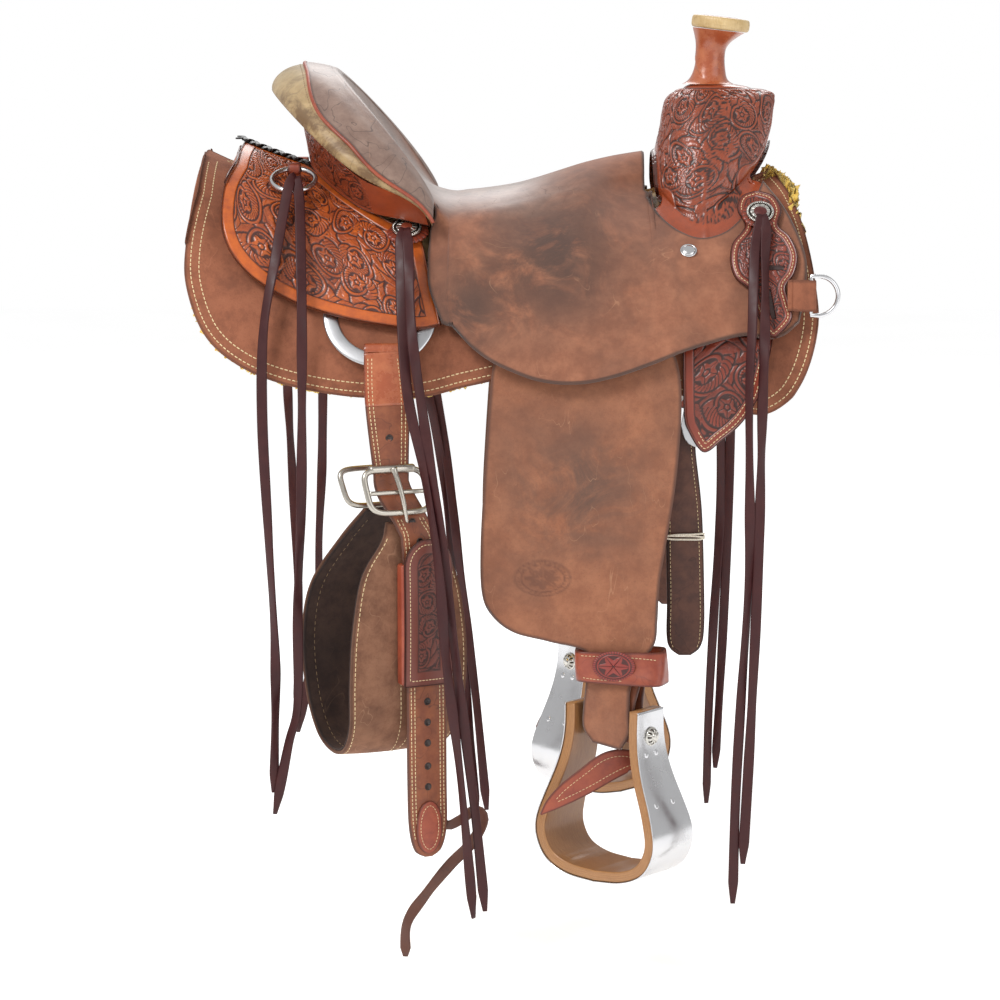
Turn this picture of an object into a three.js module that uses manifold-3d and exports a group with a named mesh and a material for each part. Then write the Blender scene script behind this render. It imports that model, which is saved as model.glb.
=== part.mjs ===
// Western saddle with a post horn, made of separate leathers, wood, steel and laces.
// Millimetres. +X runs to the horse's head, +Z up, the off (right) side is -Y.
// The origin is on the centre plane, at the level of the horse's spine under the rider.
import * as THREE from 'three';
import { mergeVertices } from 'three/addons/utils/BufferGeometryUtils.js';
import Module from 'manifold-3d';

const wasm = await Module();
wasm.setup();

// ---------- driving dimensions ----------
// the horse's back, which every layer of leather follows
const HALF_WIDTH = 195;
const HEM_Z = -165;
const DIP_X = -20;
const DIP_Z = 5;
const REAR_RISE = 0.00076;
const FRONT_RISE = 0.000586;
const REAR_CROWN = 1.9;
const FRONT_CROWN = 1.3;
const SIDE_POWER = 1.9;

// how far each layer's outer face stands off the horse's back
const FLEECE_TOP = 13;
const SKIRT_TOP = 20.5;
const SKIRT_THICK = 5;
const FLANK_RING_TOP = 26;
const RIGGING_PLATE_TOP = 23;
const RIGGING_TOP = 26.5;
const BAR_TOP = 42;
const BAR_LOW = 27;
const BAR_UNDER = 21.5;
const JOCKEY_TOP = 50;
const JOCKEY_LOW = 33;
const LEATHER = 5;
const CHANNEL = 38;
const LACED_GAP = 4;

// seat and cantle
const SEAT_HALF_WIDTH = 246;
const CREST_HALF_WIDTH = 150;
const CREST_END = { x: -76, z: 50 };
const CREST_RISE = { x: -112, z: 147 };
const POCKET_X = -55;
const FORK_X = 168;

// fork and horn
const HORN_X = 243;
const CAP_CENTRE = new THREE.Vector3(257.5, 0, 250.5);
const CAP_TILT = 0.115;
const CAP_RADIUS = 29.5;
const CAP_HALF_THICK = 8;
const GULLET_HALF_WIDTH = 78;
const GULLET_TOP = 100;

// stirrup leathers and stirrups
const FENDER_Y = 226;
const FENDER_LEAN = 0.2126;
const FENDER_STRAIGHT_Z = -221;
const BOLT_X = 129;
const BOLT_Z = -543;
const BOLT_R = 5;
const STIRRUP_TURN = THREE.MathUtils.degToRad(38);
const STIRRUP_WOOD = 12;
const STIRRUP_PLATE = 1.2;

// hanging straps and laces
const CINCH_TURN = THREE.MathUtils.degToRad(30);
const STRING_Y = 251;

const colours = {
  roughout: [0x9e6242, 0.9, 0],
  seat: [0x8a6650, 0.45, 0],
  tooled: [0x8a3a1e, 0.5, 0],
  swell: [0x7a3019, 0.4, 0],
  horn: [0xc46c40, 0.45, 0],
  rawhide: [0xb08a5c, 0.55, 0],
  fleece: [0xd8b860, 1, 0],
  dark: [0x4c3530, 0.7, 0],
  lace: [0x553234, 0.65, 0],
  steel: [0xb9bbbd, 0.3, 1],
  nickel: [0xa9a49a, 0.35, 1],
  silver: [0xb4b0a8, 0.35, 1],
  oak: [0xc18a4c, 0.6, 0],
  tree: [0xb7a98c, 0.7, 0],
  white: [0xdedad0, 0.8, 0],
};

// ---------- small maths ----------
const { clamp, lerp } = THREE.MathUtils;
const vec = (x, y, z) => new THREE.Vector3(x, y, z);

function smooth(t) {
  const c = clamp(t, 0, 1);
  return c * c * (3 - 2 * c);
}

// smooth curve through a list of points, each an array of two or three numbers
function spline(points, steps) {
  const knots = points.map(([x, y, z = 0]) => vec(x, y, z));
  const curve = new THREE.CatmullRomCurve3(knots, false, 'catmullrom', 0.5);
  return Array.from({ length: steps + 1 }, (_, i) => curve.getPoint(i / steps));
}

// ---------- the horse's back ----------
function spineZ(x) {
  const away = x - DIP_X;
  return DIP_Z + (away < 0 ? REAR_RISE : FRONT_RISE) * away * away;
}

function backCrown(x) {
  return lerp(REAR_CROWN, FRONT_CROWN, smooth((x + 150) / 300));
}

// cross-section of the back at x: p runs from 0 at the spine to 1 where the side turns vertical
function backSection(x, p) {
  const rise = spineZ(x) - HEM_Z;
  if (p >= 1) {
    return { y: HALF_WIDTH, z: HEM_Z - (p - 1) * rise, ny: 1, nz: 0 };
  }
  const crown = backCrown(x);
  const across = Math.sin((p * Math.PI) / 2) ** (2 / crown);
  const height = Math.cos((p * Math.PI) / 2) ** (2 / SIDE_POWER);
  const gy = (crown / HALF_WIDTH) * across ** (crown - 1);
  const gz = (SIDE_POWER / rise) * height ** (SIDE_POWER - 1);
  const length = Math.hypot(gy, gz);
  return { y: HALF_WIDTH * across, z: HEM_Z + rise * height, ny: gy / length, nz: gz / length };
}

const flat = (offset) => () => offset;

function layerPoint(x, p, offset) {
  const at = backSection(x, p);
  const off = offset(x, at.z);
  return vec(x, at.y + off * at.ny, at.z + off * at.nz);
}

// the p at which a layer's outer face reaches height z, or distance y from the centre plane
function findP(x, target, offset) {
  let low = 0;
  let high = 5;
  for (let i = 0; i < 40; i += 1) {
    const p = (low + high) / 2;
    const point = layerPoint(x, p, offset);
    const past = 'z' in target ? point.z < target.z : point.y > target.y;
    if (past) {
      high = p;
    } else {
      low = p;
    }
  }
  return (low + high) / 2;
}

const onLayer = (x, z, offset) => layerPoint(x, findP(x, { z }, offset), offset);

// ---------- solids ----------
function volume(geometry) {
  const position = geometry.attributes.position;
  const index = geometry.index;
  const [a, b, c] = [vec(), vec(), vec()];
  let sum = 0;
  for (let i = 0; i < index.count; i += 3) {
    a.fromBufferAttribute(position, index.getX(i));
    b.fromBufferAttribute(position, index.getX(i + 1));
    c.fromBufferAttribute(position, index.getX(i + 2));
    sum += a.dot(b.cross(c));
  }
  return sum / 6;
}

function turnFaces(geometry) {
  const index = geometry.index.array;
  for (let i = 0; i < index.length; i += 3) {
    [index[i], index[i + 1]] = [index[i + 1], index[i]];
  }
  return geometry;
}

function solidFrom(points, triangles) {
  const used = new Map();
  const index = triangles.flat().map((k) => {
    if (!used.has(k)) {
      used.set(k, used.size);
    }
    return used.get(k);
  });
  const kept = [...used.keys()].map((k) => points[k]);
  const geometry = new THREE.BufferGeometry();
  geometry.setAttribute('position', new THREE.Float32BufferAttribute(kept.flatMap((q) => q.toArray()), 3));
  geometry.setIndex(index);
  return volume(geometry) < 0 ? turnFaces(geometry) : geometry;
}

// outward normals of a grid of points, turned away from a line inside the horse
const INSIDE_Z = -260;
function gridNormals(grid) {
  const last = grid.length - 1;
  return grid.map((row, i) =>
    row.map((point, j) => {
      const along = vec().subVectors(grid[Math.min(i + 1, last)][j], grid[Math.max(i - 1, 0)][j]);
      const end = row.length - 1;
      const across = vec().subVectors(row[Math.min(j + 1, end)], row[Math.max(j - 1, 0)]);
      const normal = along.cross(across).normalize();
      const outward = vec(0, point.y, point.z - INSIDE_Z);
      return normal.dot(outward) < 0 ? normal.negate() : normal;
    }),
  );
}

const pushed = (grid, normals, depth) =>
  grid.map((row, i) => row.map((point, j) => point.clone().addScaledVector(normals[i][j], -depth)));

// a curved plate between two grids of points; cells that aren't present are left open
function plate(outer, inner, present = () => true) {
  const rows = outer.length;
  const columns = outer[0].length;
  const points = [...outer.flat(), ...inner.flat()];
  const top = (i, j) => i * columns + j;
  const under = (i, j) => rows * columns + i * columns + j;
  const here = (i, j) => i >= 0 && j >= 0 && i < rows - 1 && j < columns - 1 && present(i, j);
  const triangles = [];
  const quad = (a, b, c, d) => triangles.push([a, b, c], [a, c, d]);
  for (let i = 0; i < rows - 1; i += 1) {
    for (let j = 0; j < columns - 1; j += 1) {
      if (here(i, j)) {
        quad(top(i, j), top(i, j + 1), top(i + 1, j + 1), top(i + 1, j));
        quad(under(i, j), under(i + 1, j), under(i + 1, j + 1), under(i, j + 1));
        const edges = [
          [here(i - 1, j), [i, j + 1], [i, j]],
          [here(i + 1, j), [i + 1, j], [i + 1, j + 1]],
          [here(i, j - 1), [i, j], [i + 1, j]],
          [here(i, j + 1), [i + 1, j + 1], [i, j + 1]],
        ];
        edges
          .filter(([covered]) => !covered)
          .forEach(([, a, b]) => quad(top(...a), top(...b), under(...b), under(...a)));
      }
    }
  }
  return solidFrom(points, triangles);
}

// a plate of even thickness under a grid of outer points
function sheet(grid, thickness, present) {
  return plate(grid, pushed(grid, gridNormals(grid), thickness), present);
}

// a solid through a row of rings of points; closed joins the last ring to the first
function loft(rings, closed = false) {
  const count = rings[0].length;
  const points = rings.flat();
  const triangles = [];
  const spans = closed ? rings.length : rings.length - 1;
  for (let i = 0; i < spans; i += 1) {
    const a = i * count;
    const b = ((i + 1) % rings.length) * count;
    for (let j = 0; j < count; j += 1) {
      const k = (j + 1) % count;
      triangles.push([a + j, b + j, b + k], [a + j, b + k, a + k]);
    }
  }
  if (!closed) {
    for (const [ring, flip] of [[0, false], [rings.length - 1, true]]) {
      const centre = rings[ring].reduce((sum, q) => sum.add(q), vec(0, 0, 0)).divideScalar(count);
      const hub = points.push(centre) - 1;
      for (let j = 0; j < count; j += 1) {
        const a = ring * count + j;
        const b = ring * count + ((j + 1) % count);
        triangles.push(flip ? [hub, b, a] : [hub, a, b]);
      }
    }
  }
  return solidFrom(points, triangles);
}

// a strap: rectangular sections of a width and thickness along centre points
function strap(stations) {
  return loft(
    stations.map(({ at, wide, thick }) =>
      [[-1, -1], [1, -1], [1, 1], [-1, 1]].map(([u, v]) =>
        at.clone().addScaledVector(wide, u / 2).addScaledVector(thick, v / 2),
      ),
    ),
  );
}

// a bar of round section bent into a closed ring through points
function ringBar(path, radius, sides = 6) {
  const centre = path.reduce((sum, q) => sum.add(q), vec(0, 0, 0)).divideScalar(path.length);
  const normal = path
    .reduce((sum, q, i) => {
      const next = path[(i + 1) % path.length];
      return sum.add(vec().subVectors(q, centre).cross(vec().subVectors(next, centre)));
    }, vec(0, 0, 0))
    .normalize();
  return loft(
    path.map((point, i) => {
      const next = path[(i + 1) % path.length];
      const before = path[(i + path.length - 1) % path.length];
      const tangent = vec().subVectors(next, before).normalize();
      const out = vec().crossVectors(tangent, normal).normalize();
      if (out.dot(vec().subVectors(point, centre)) < 0) {
        out.negate();
      }
      return Array.from({ length: sides }, (_, k) => {
        const angle = (k / sides) * 2 * Math.PI;
        return point
          .clone()
          .addScaledVector(out, radius * Math.cos(angle))
          .addScaledVector(normal, radius * Math.sin(angle));
      });
    }),
    true,
  );
}

function welded(geometry) {
  const copy = geometry.clone();
  copy.deleteAttribute('normal');
  copy.deleteAttribute('uv');
  return mergeVertices(copy, 1e-4);
}

function lathe(profile, sides = 24) {
  const points = profile.map(([r, h]) => new THREE.Vector2(r, h));
  const geometry = new THREE.LatheGeometry(points, sides);
  geometry.rotateX(Math.PI / 2);
  return fixed(welded(geometry));
}

// a lathe's poles leave empty triangles behind; this drops them
function fixed(geometry) {
  const index = Array.from(geometry.index.array);
  const triangles = [];
  for (let i = 0; i < index.length; i += 3) {
    const [a, b, c] = index.slice(i, i + 3);
    if (a !== b && b !== c && a !== c) {
      triangles.push([a, b, c]);
    }
  }
  const position = geometry.attributes.position;
  const points = Array.from({ length: position.count }, (_, i) => vec().fromBufferAttribute(position, i));
  return solidFrom(points, triangles);
}

function toManifold(geometry) {
  const merged = geometry.index ? geometry : welded(geometry);
  return new wasm.Manifold(
    new wasm.Mesh({
      numProp: 3,
      vertProperties: new Float32Array(merged.attributes.position.array),
      triVerts: new Uint32Array(merged.index.array),
    }),
  );
}

function fromManifold(solid) {
  const mesh = solid.getMesh();
  const geometry = new THREE.BufferGeometry();
  geometry.setAttribute('position', new THREE.BufferAttribute(new Float32Array(mesh.vertProperties), 3));
  geometry.setIndex(Array.from(mesh.triVerts));
  return geometry;
}

const cut = (body, ...tools) =>
  fromManifold(tools.reduce((solid, tool) => solid.subtract(toManifold(tool)), toManifold(body)));
const join = (...bodies) =>
  fromManifold(bodies.map(toManifold).reduce((sum, body) => sum.add(body)));

// an outline in the XZ plane, pushed through along Y from y0 to y1
function prismY(outline, y0, y1) {
  const shape = new THREE.Shape(outline.map(([x, z]) => new THREE.Vector2(x, z)));
  const geometry = new THREE.ExtrudeGeometry(shape, { depth: y1 - y0, bevelEnabled: false });
  geometry.rotateX(Math.PI / 2);
  geometry.translate(0, y1, 0);
  return fixed(welded(geometry));
}

function prismX(outline, x0, x1) {
  const shape = new THREE.Shape(outline.map(([y, z]) => new THREE.Vector2(y, z)));
  const geometry = new THREE.ExtrudeGeometry(shape, { depth: x1 - x0, bevelEnabled: false });
  geometry.applyMatrix4(new THREE.Matrix4().makeBasis(vec(0, 1, 0), vec(0, 0, 1), vec(1, 0, 0)));
  geometry.translate(x0, 0, 0);
  return fixed(welded(geometry));
}

// stands a solid made along +Z on a point, with +Z turned to a direction
function standOn(geometry, point, direction) {
  const turn = new THREE.Quaternion().setFromUnitVectors(vec(0, 0, 1), direction.clone().normalize());
  geometry.applyQuaternion(turn);
  geometry.translate(point.x, point.y, point.z);
  return geometry;
}

// pieces are drawn for the left (+Y) side and mirrored for the right
function mirrored(geometry) {
  const copy = geometry.clone();
  copy.scale(1, -1, 1);
  return turnFaces(copy);
}

// ---------- the scene ----------
const saddle = new THREE.Group();

function add(name, geometry, look, parent = saddle) {
  const [color, roughness, metalness] = colours[look];
  const material = new THREE.MeshStandardMaterial({ color, roughness, metalness });
  const mesh = new THREE.Mesh(geometry, material);
  mesh.name = name;
  parent.add(mesh);
}

function addPair(name, geometry, look) {
  add(`${name}_left`, geometry, look);
  add(`${name}_right`, mirrored(geometry), look);
}

// ---------- layers that lie on the horse's back ----------
// rails run along the piece, from its upper edge to its lower one; a point is [x, z] or [x, { y }]
function railGrid(rails, columns, rows, offset) {
  const lines = rails.map((rail) =>
    spline(
      rail.map(([x, place]) => [x, findP(x, typeof place === 'number' ? { z: place } : place, offset)]),
      columns,
    ),
  );
  return Array.from({ length: columns + 1 }, (_, i) =>
    spline(lines.map((line) => [line[i].x, line[i].y]), rows).map((q) => layerPoint(q.x, q.y, offset)),
  );
}

const crownY = (x) => ({ y: LACED_GAP + (CHANNEL - LACED_GAP) * smooth((x + 262) / 40) });

const skirtHem = [
  [-345, 60], [-355, 0], [-352, -45], [-331, -96], [-292, -130], [-236, -152], [-158, -165],
  [-90, -165], [-34, -152], [30, -140], [110, -140], [190, -158], [250, -176], [298, -184], [338, -150],
  [357, -90], [356, -40], [346, 20], [333, 58],
];
const skirtCrownX = [
  -342, -338, -332, -322, -305, -280, -240, -190, -130, -70, 0, 80, 160, 225, 268, 296, 310, 316, 316,
];

function skirtGrid(offset, columns, rows) {
  const crown = skirtCrownX.map((x) => [x, crownY(x)]);
  return railGrid([crown, skirtHem], columns, rows, flat(offset));
}

function makeSkirts() {
  addPair('skirt', sheet(skirtGrid(SKIRT_TOP, 30, 7), SKIRT_THICK), 'roughout');
  addPair('fleece', sheet(skirtGrid(FLEECE_TOP, 18, 5), FLEECE_TOP - 0.5), 'fleece');
}

const rearJockeyTop = (x, z) => lerp(JOCKEY_LOW, JOCKEY_TOP, smooth((z + 75) / 75));

function makeRearJockeys() {
  const hem = [
    [-303, 92], [-314, 64], [-312, 19], [-289, -21], [-239, -55], [-182, -74], [-130, -84], [-92, -88],
    [-66, -84],
  ];
  const crown = [
    [-298, { y: 3.5 }], [-286, { y: 3.5 }], [-264, { y: 3.5 }], [-241, { y: 3.5 }], [-224, { y: 20 }],
    [-206, { y: 52 }], [-172, { y: 92 }], [-128, { y: 122 }], [-90, { y: 132 }],
  ];
  addPair('rear_jockey', sheet(railGrid([crown, hem], 24, 7, rearJockeyTop), LEATHER), 'tooled');
}

const barTop = (x, z) => lerp(BAR_LOW, BAR_TOP, smooth((z + 55) / 50));

// one bar of the tree, from behind the cantle to in front of the fork
function barGeometry() {
  const upper = [-285, -240, -180, -110, -40, 40, 120, 190, 250, 292].map((x) => [x, { y: CHANNEL + 12 }]);
  const lowerZ = [70, 35, 10, 0, -36, -50, -50, -42, -28, 5];
  const lower = [-290, -262, -195, -115, -40, 40, 120, 190, 250, 296].map((x, i) => [x, lowerZ[i]]);
  const outer = railGrid([upper, lower], 22, 5, barTop);
  const inner = outer.map((row) =>
    row.map((point) => {
      const p = findP(point.x, { y: point.y }, barTop);
      return layerPoint(point.x, p, flat(BAR_UNDER));
    }),
  );
  return plate(outer, inner);
}

// ---------- fork ----------
// height, rear x, front x and half width of the fork's cover
const forkLevels = [
  [12, 208, 246, 128], [18, 203, 258, 127], [34, 187, 277, 123], [60, 178, 290, 114],
  [94, 180, 305, 101], [129, 187, 316, 86], [150, 190, 317, 73], [163, 194, 313, 60],
  [174, 206, 292, 44], [181, 222, 268, 27],
];
const FORK_SQUARENESS = 2.8;
const FORK_SIDES = 28;

function forkRing([z, rear, front, half], inset) {
  const centre = (rear + front) / 2;
  const long = (front - rear) / 2 - inset;
  return Array.from({ length: FORK_SIDES }, (_, k) => {
    const angle = ((k + 0.5) / FORK_SIDES) * 2 * Math.PI;
    const c = Math.cos(angle);
    const s = Math.sin(angle);
    const x = Math.sign(c) * Math.abs(c) ** (2 / FORK_SQUARENESS) * long;
    const y = Math.sign(s) * Math.abs(s) ** (2 / FORK_SQUARENESS) * (half - inset);
    return vec(centre + x, y, z);
  });
}

// the arched tunnel over the horse's withers
function gulletTunnel(extra) {
  const arch = [[GULLET_HALF_WIDTH + extra, -120], [GULLET_HALF_WIDTH + extra, 0]];
  const steps = 10;
  for (let i = 1; i < steps; i += 1) {
    const angle = (i / steps) * Math.PI;
    arch.push([
      (GULLET_HALF_WIDTH + extra) * Math.cos(angle),
      (GULLET_TOP + extra) * Math.sin(angle) ** 0.9,
    ]);
  }
  arch.push([-GULLET_HALF_WIDTH - extra, 0], [-GULLET_HALF_WIDTH - extra, -120]);
  return prismX(arch, 120, 360);
}

// everything under a layer, from in front of the seat forwards
function underLayer(offset) {
  const count = 12;
  const rings = [110, 150, 190, 230, 270, 310, 350].map((x) => {
    const side = Array.from({ length: count + 1 }, (_, i) => layerPoint(x, (1.2 * i) / count, offset));
    const far = side.slice(1).map((q) => vec(q.x, -q.y, q.z));
    return [vec(x, -260, -300), ...far.reverse(), ...side, vec(x, 260, -300)];
  });
  return loft(rings);
}

const COVER_THICK = 4;
const FORK_TOP_Z = forkLevels[forkLevels.length - 1][0];

function makeSwellCover() {
  const outer = loft(forkLevels.map((level) => forkRing(level, 0)));
  const lowest = forkLevels[0];
  const below = [lowest[0] - 20, lowest[1] - 12, lowest[2] + 12, lowest[3]];
  const lowered = forkLevels.map(([z, ...rest]) => [z > 150 ? z - COVER_THICK : z, ...rest]);
  const inner = loft([below, ...lowered].map((level) => forkRing(level, COVER_THICK)));
  const neck = lathe([[0, FORK_TOP_Z - 30], [18, FORK_TOP_Z - 30], [18, FORK_TOP_Z + 10], [0, FORK_TOP_Z + 10]]);
  neck.translate(HORN_X, 0, 0);
  const seated = underLayer((x, z) => barTop(x, z) + 2.5);
  add('swell_cover', cut(outer, inner, gulletTunnel(1), neck, seated), 'swell');
}

function forkBody() {
  const inset = COVER_THICK + 1;
  const body = forkLevels
    .slice(3)
    .map(([z, ...rest]) => forkRing([z > 150 ? z - inset : z, ...rest], inset));
  const legs = [[-20, 192, 286, 84], [5, 188, 286, 98], [34, 192, 272, 106]];
  const feet = legs.map((level) => forkRing(level, 0));
  return cut(loft([...feet, ...body]), gulletTunnel(0), underLayer(flat(BAR_UNDER)));
}

// ---------- horn ----------
function hornRing(z, x, radius, slope = 0, sides = 20) {
  return Array.from({ length: sides }, (_, k) => {
    const angle = (k / sides) * 2 * Math.PI;
    const out = radius * Math.cos(angle);
    return vec(x + out, radius * Math.sin(angle), z - out * slope);
  });
}

const CORE_R = 10;
const HORN_BASE_Z = FORK_TOP_Z + 0.6;
const neckLevels = [
  [HORN_BASE_Z, 243, 23], [188, 243.5, 19], [198, 244.5, 16], [212, 245.5, 14.5], [224, 246.5, 14.5],
  [232, 248.5, 16.5, 0.04], [238, 250.5, 20, 0.08], [242.6, 253.5, 26, CAP_TILT],
];

function makeHorn() {
  const wrap = loft(neckLevels.map((level) => hornRing(...level)));
  const bore = loft([[170, 243], [250, 249.5]].map(([z, x]) => hornRing(z, x, CORE_R + 0.5)));
  add('horn_wrap', cut(wrap, bore), 'horn');
  add('horn_core', loft([[FORK_TOP_Z - 3, 243.9], [240, 248.9]].map(([z, x]) => hornRing(z, x, CORE_R))), 'steel');
  const up = vec(Math.sin(CAP_TILT), 0, Math.cos(CAP_TILT));
  const top = CAP_HALF_THICK;
  const cap = lathe([
    [0, -top + 1], [CAP_RADIUS - 3, -top + 1], [CAP_RADIUS, -top + 3], [CAP_RADIUS, top - 3],
    [CAP_RADIUS - 5, top - 0.5], [18, top], [0, top],
  ], 32);
  add('horn_cap', standOn(cap, CAP_CENTRE, up), 'rawhide');
  const inner = CAP_RADIUS + 0.4;
  const outer = CAP_RADIUS + 4.5;
  const rim = lathe([
    [inner, -top + 1], [outer - 1, -top + 1.5], [outer, -top + 5], [outer, top - 5], [outer - 1.5, top - 1.5],
    [inner, top - 1], [inner, -top + 1],
  ], 32);
  add('horn_cap_binding', standOn(rim, CAP_CENTRE, up), 'rawhide');
}

// ---------- seat ----------
const seatLine = [
  [-55, 56], [-20, 59], [23, 66], [70, 80], [117, 94], [168, 103],
];
const lowTop = (x) => 52 - 12 * smooth((-20 - x) / 50) - 14 * smooth((x - 190) / 50);
const seatTop = (x, z) => lerp(lowTop(x), JOCKEY_TOP + 2, smooth((z + 90) / 90));

function seatHeight(x) {
  const curve = spline(seatLine, 40);
  const after = curve.findIndex((q) => q.x >= x - 1e-6);
  if (after <= 0) {
    return seatLine[0][1];
  }
  const [a, b] = [curve[after - 1], curve[after]];
  return lerp(a.y, b.y, (x - a.x) / (b.x - a.x));
}

const seatCrown = (x) => lerp(3, 1.8, smooth((x + 80) / 140));

// half width of the seat's own section at height z
function seatReach(x, z) {
  const height = clamp((z - HEM_Z) / (seatHeight(x) - HEM_Z), 0, 1);
  return SEAT_HALF_WIDTH * (1 - height ** SIDE_POWER) ** (1 / seatCrown(x));
}

// the side of the seat leaves its own section for the layers below it, low down and at the fork
function seatSide(x, z) {
  const lie = Math.max(smooth((20 - z) / 120), smooth((x - 95) / 70));
  const layered = onLayer(x, z, seatTop).y;
  return vec(x, lerp(seatReach(x, z), layered, lie), z);
}

const shoulderZ = (x) => lerp(30, 60, smooth((x - POCKET_X) / (FORK_X - POCKET_X)));

const SIDE_CELLS = 4;
const TOP_CELLS = 8;

// one line across the seat, from the left hem over the crown to the right hem
function seatStation(x, hemZ) {
  const side = [];
  for (let j = 0; j <= SIDE_CELLS; j += 1) {
    side.push(seatSide(x, lerp(hemZ, shoulderZ(x), j / SIDE_CELLS)));
  }
  const shoulder = side[SIDE_CELLS];
  const crown = seatHeight(x);
  const power = 2.2;
  const over = [];
  for (let j = 1; j < TOP_CELLS; j += 1) {
    const across = 1 - (2 * j) / TOP_CELLS;
    over.push(vec(x, shoulder.y * across, crown - (crown - shoulder.z) * Math.abs(across) ** power));
  }
  const far = side.map((q) => vec(q.x, -q.y, q.z)).reverse();
  return [...side, ...over, ...far];
}

function crest(theta) {
  const c = Math.max(Math.cos(theta), 0);
  return vec(
    CREST_END.x + CREST_RISE.x * c,
    CREST_HALF_WIDTH * Math.sin(theta),
    CREST_END.z + CREST_RISE.z * c ** 0.8,
  );
}

// the seat's rear edge: up the jockey's back edge, round the cantle's crest and down again
function seatRear() {
  const edge = [[-66, -80], [-80, -44], [-82, -14], [-80, 16]];
  const side = edge.map(([x, z]) => onLayer(x, z, seatTop));
  side.push(crest(Math.PI / 2));
  const over = [];
  for (let j = 1; j < TOP_CELLS; j += 1) {
    over.push(crest((Math.PI / 2) * (1 - (2 * j) / TOP_CELLS)));
  }
  const far = side.map((q) => vec(q.x, -q.y, q.z)).reverse();
  return [...side, ...over, ...far];
}

const mainHem = [[-55, -84], [-22, -114], [22, -136], [62, -146], [112, -143], [168, -125]];

function seatGrid() {
  const rear = seatRear();
  const front = seatStation(POCKET_X, mainHem[0][1]);
  const grid = [1, 0.8, 0.6, 0.4, 0.2].map((r) =>
    front.map((q, j) => {
      const x = lerp(q.x, rear[j].x, r);
      const y = lerp(q.y, rear[j].y, r);
      return vec(x, y, lerp(q.z, rear[j].z, r ** 1.8));
    }),
  );
  for (const q of spline(mainHem, 8)) {
    grid.push(seatStation(q.x, q.y));
  }
  // in front of the fork's rear face only the two wings go on, round the fork's foot
  const notch = [[168, 60], [172, 50], [184, 33], [215, 13], [255, 18], [284, 45], [301, 74]];
  const middle = [[168, -20], [180, -44], [198, -50], [226, -50], [266, -42], [306, -26], [343, -6]];
  const hem = [[168, -125], [186, -118], [213, -109], [245, -100], [278, -94], [308, -98], [335, -80]];
  const wing = railGrid([hem, middle, notch], 9, SIDE_CELLS, seatTop).slice(1);
  const filler = grid[grid.length - 1].slice(SIDE_CELLS + 1, SIDE_CELLS + TOP_CELLS);
  for (const row of wing) {
    grid.push([...row, ...filler, ...row.map((q) => vec(q.x, -q.y, q.z)).reverse()]);
  }
  return grid;
}

const WING_START = 13;
const isSeat = (i, j) => i < WING_START || j < SIDE_CELLS || j >= SIDE_CELLS + TOP_CELLS;

function makeSeat() {
  const grid = seatGrid();
  const normals = gridNormals(grid);
  // beside the open middle, a wing's normals come from its own points alone
  for (const [low, high] of [[0, SIDE_CELLS], [SIDE_CELLS + TOP_CELLS, grid[0].length - 1]]) {
    const wing = gridNormals(grid.map((row) => row.slice(low, high + 1)));
    for (let i = WING_START; i < grid.length; i += 1) {
      for (let j = low; j <= high; j += 1) {
        normals[i][j] = wing[i][j - low];
      }
    }
  }
  add('seat_leather', plate(grid, pushed(grid, normals, LEATHER), isSeat), 'seat');
  const from = SIDE_CELLS + 1;
  const to = SIDE_CELLS + TOP_CELLS;
  const core = (g) => g.slice(3, 12).map((row) => row.slice(from, to));
  const upper = core(pushed(grid, normals, LEATHER + 1.5));
  add('ground_seat', plate(upper, core(pushed(grid, normals, LEATHER + 6))), 'tree');
}

// ---------- cantle ----------
const rollFlat = [
  [0, 0], [14, 5], [34, 7], [54, 2], [68, -9], [72, -22], [60, -32], [36, -35], [14, -27], [2, -14],
];
const rollSide = [
  [0, 0], [12, -3], [26, -10], [42, -26], [54, -44], [52, -56], [40, -58], [24, -46], [10, -30], [1, -14],
];
const ROLL_GAP = 7;
const ROLL_STATIONS = 28;

function outboard(theta) {
  const c = Math.cos(theta) / -CREST_RISE.x;
  const s = Math.sin(theta) / CREST_HALF_WIDTH;
  return vec(-c, s, 0).normalize();
}

function rollRing(theta) {
  const turn = Math.sin(theta) ** 2;
  const size = 1 - 0.55 * turn ** 8;
  const out = outboard(theta);
  return rollFlat.map(([a, b], k) => {
    const across = lerp(a, rollSide[k][0], turn) * size + ROLL_GAP;
    const up = lerp(b, rollSide[k][1], turn) * size;
    return crest(theta).addScaledVector(out, across).add(vec(0, 0, up));
  });
}

const cantleBase = (theta) =>
  vec(-66 - 133 * Math.cos(theta), 125 * Math.sin(theta), 0);

function makeCantle() {
  const reach = Math.PI / 2;
  const rings = Array.from({ length: ROLL_STATIONS + 1 }, (_, i) =>
    rollRing(lerp(-reach, reach, i / ROLL_STATIONS)),
  );
  add('cantle_roll', loft(rings), 'rawhide');

  // tooled leather from under the roll down to the rear housings
  const span = THREE.MathUtils.degToRad(62);
  const back = Array.from({ length: 21 }, (_, i) => {
    const theta = lerp(-span, span, i / 20);
    const top = crest(theta).addScaledVector(outboard(theta), 46).add(vec(0, 0, -42 - 24 * Math.sin(theta) ** 2));
    const base = cantleBase(theta);
    const foot = layerPoint(base.x, findP(base.x, { y: Math.abs(base.y) }, flat(46)), flat(46));
    base.z = Math.min(foot.z, top.z - 8);
    return [0, 0.33, 0.66, 1].map((t) => top.clone().lerp(base, t));
  });
  add('cantle_back', sheet(back, 4), 'tooled');
}

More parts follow.
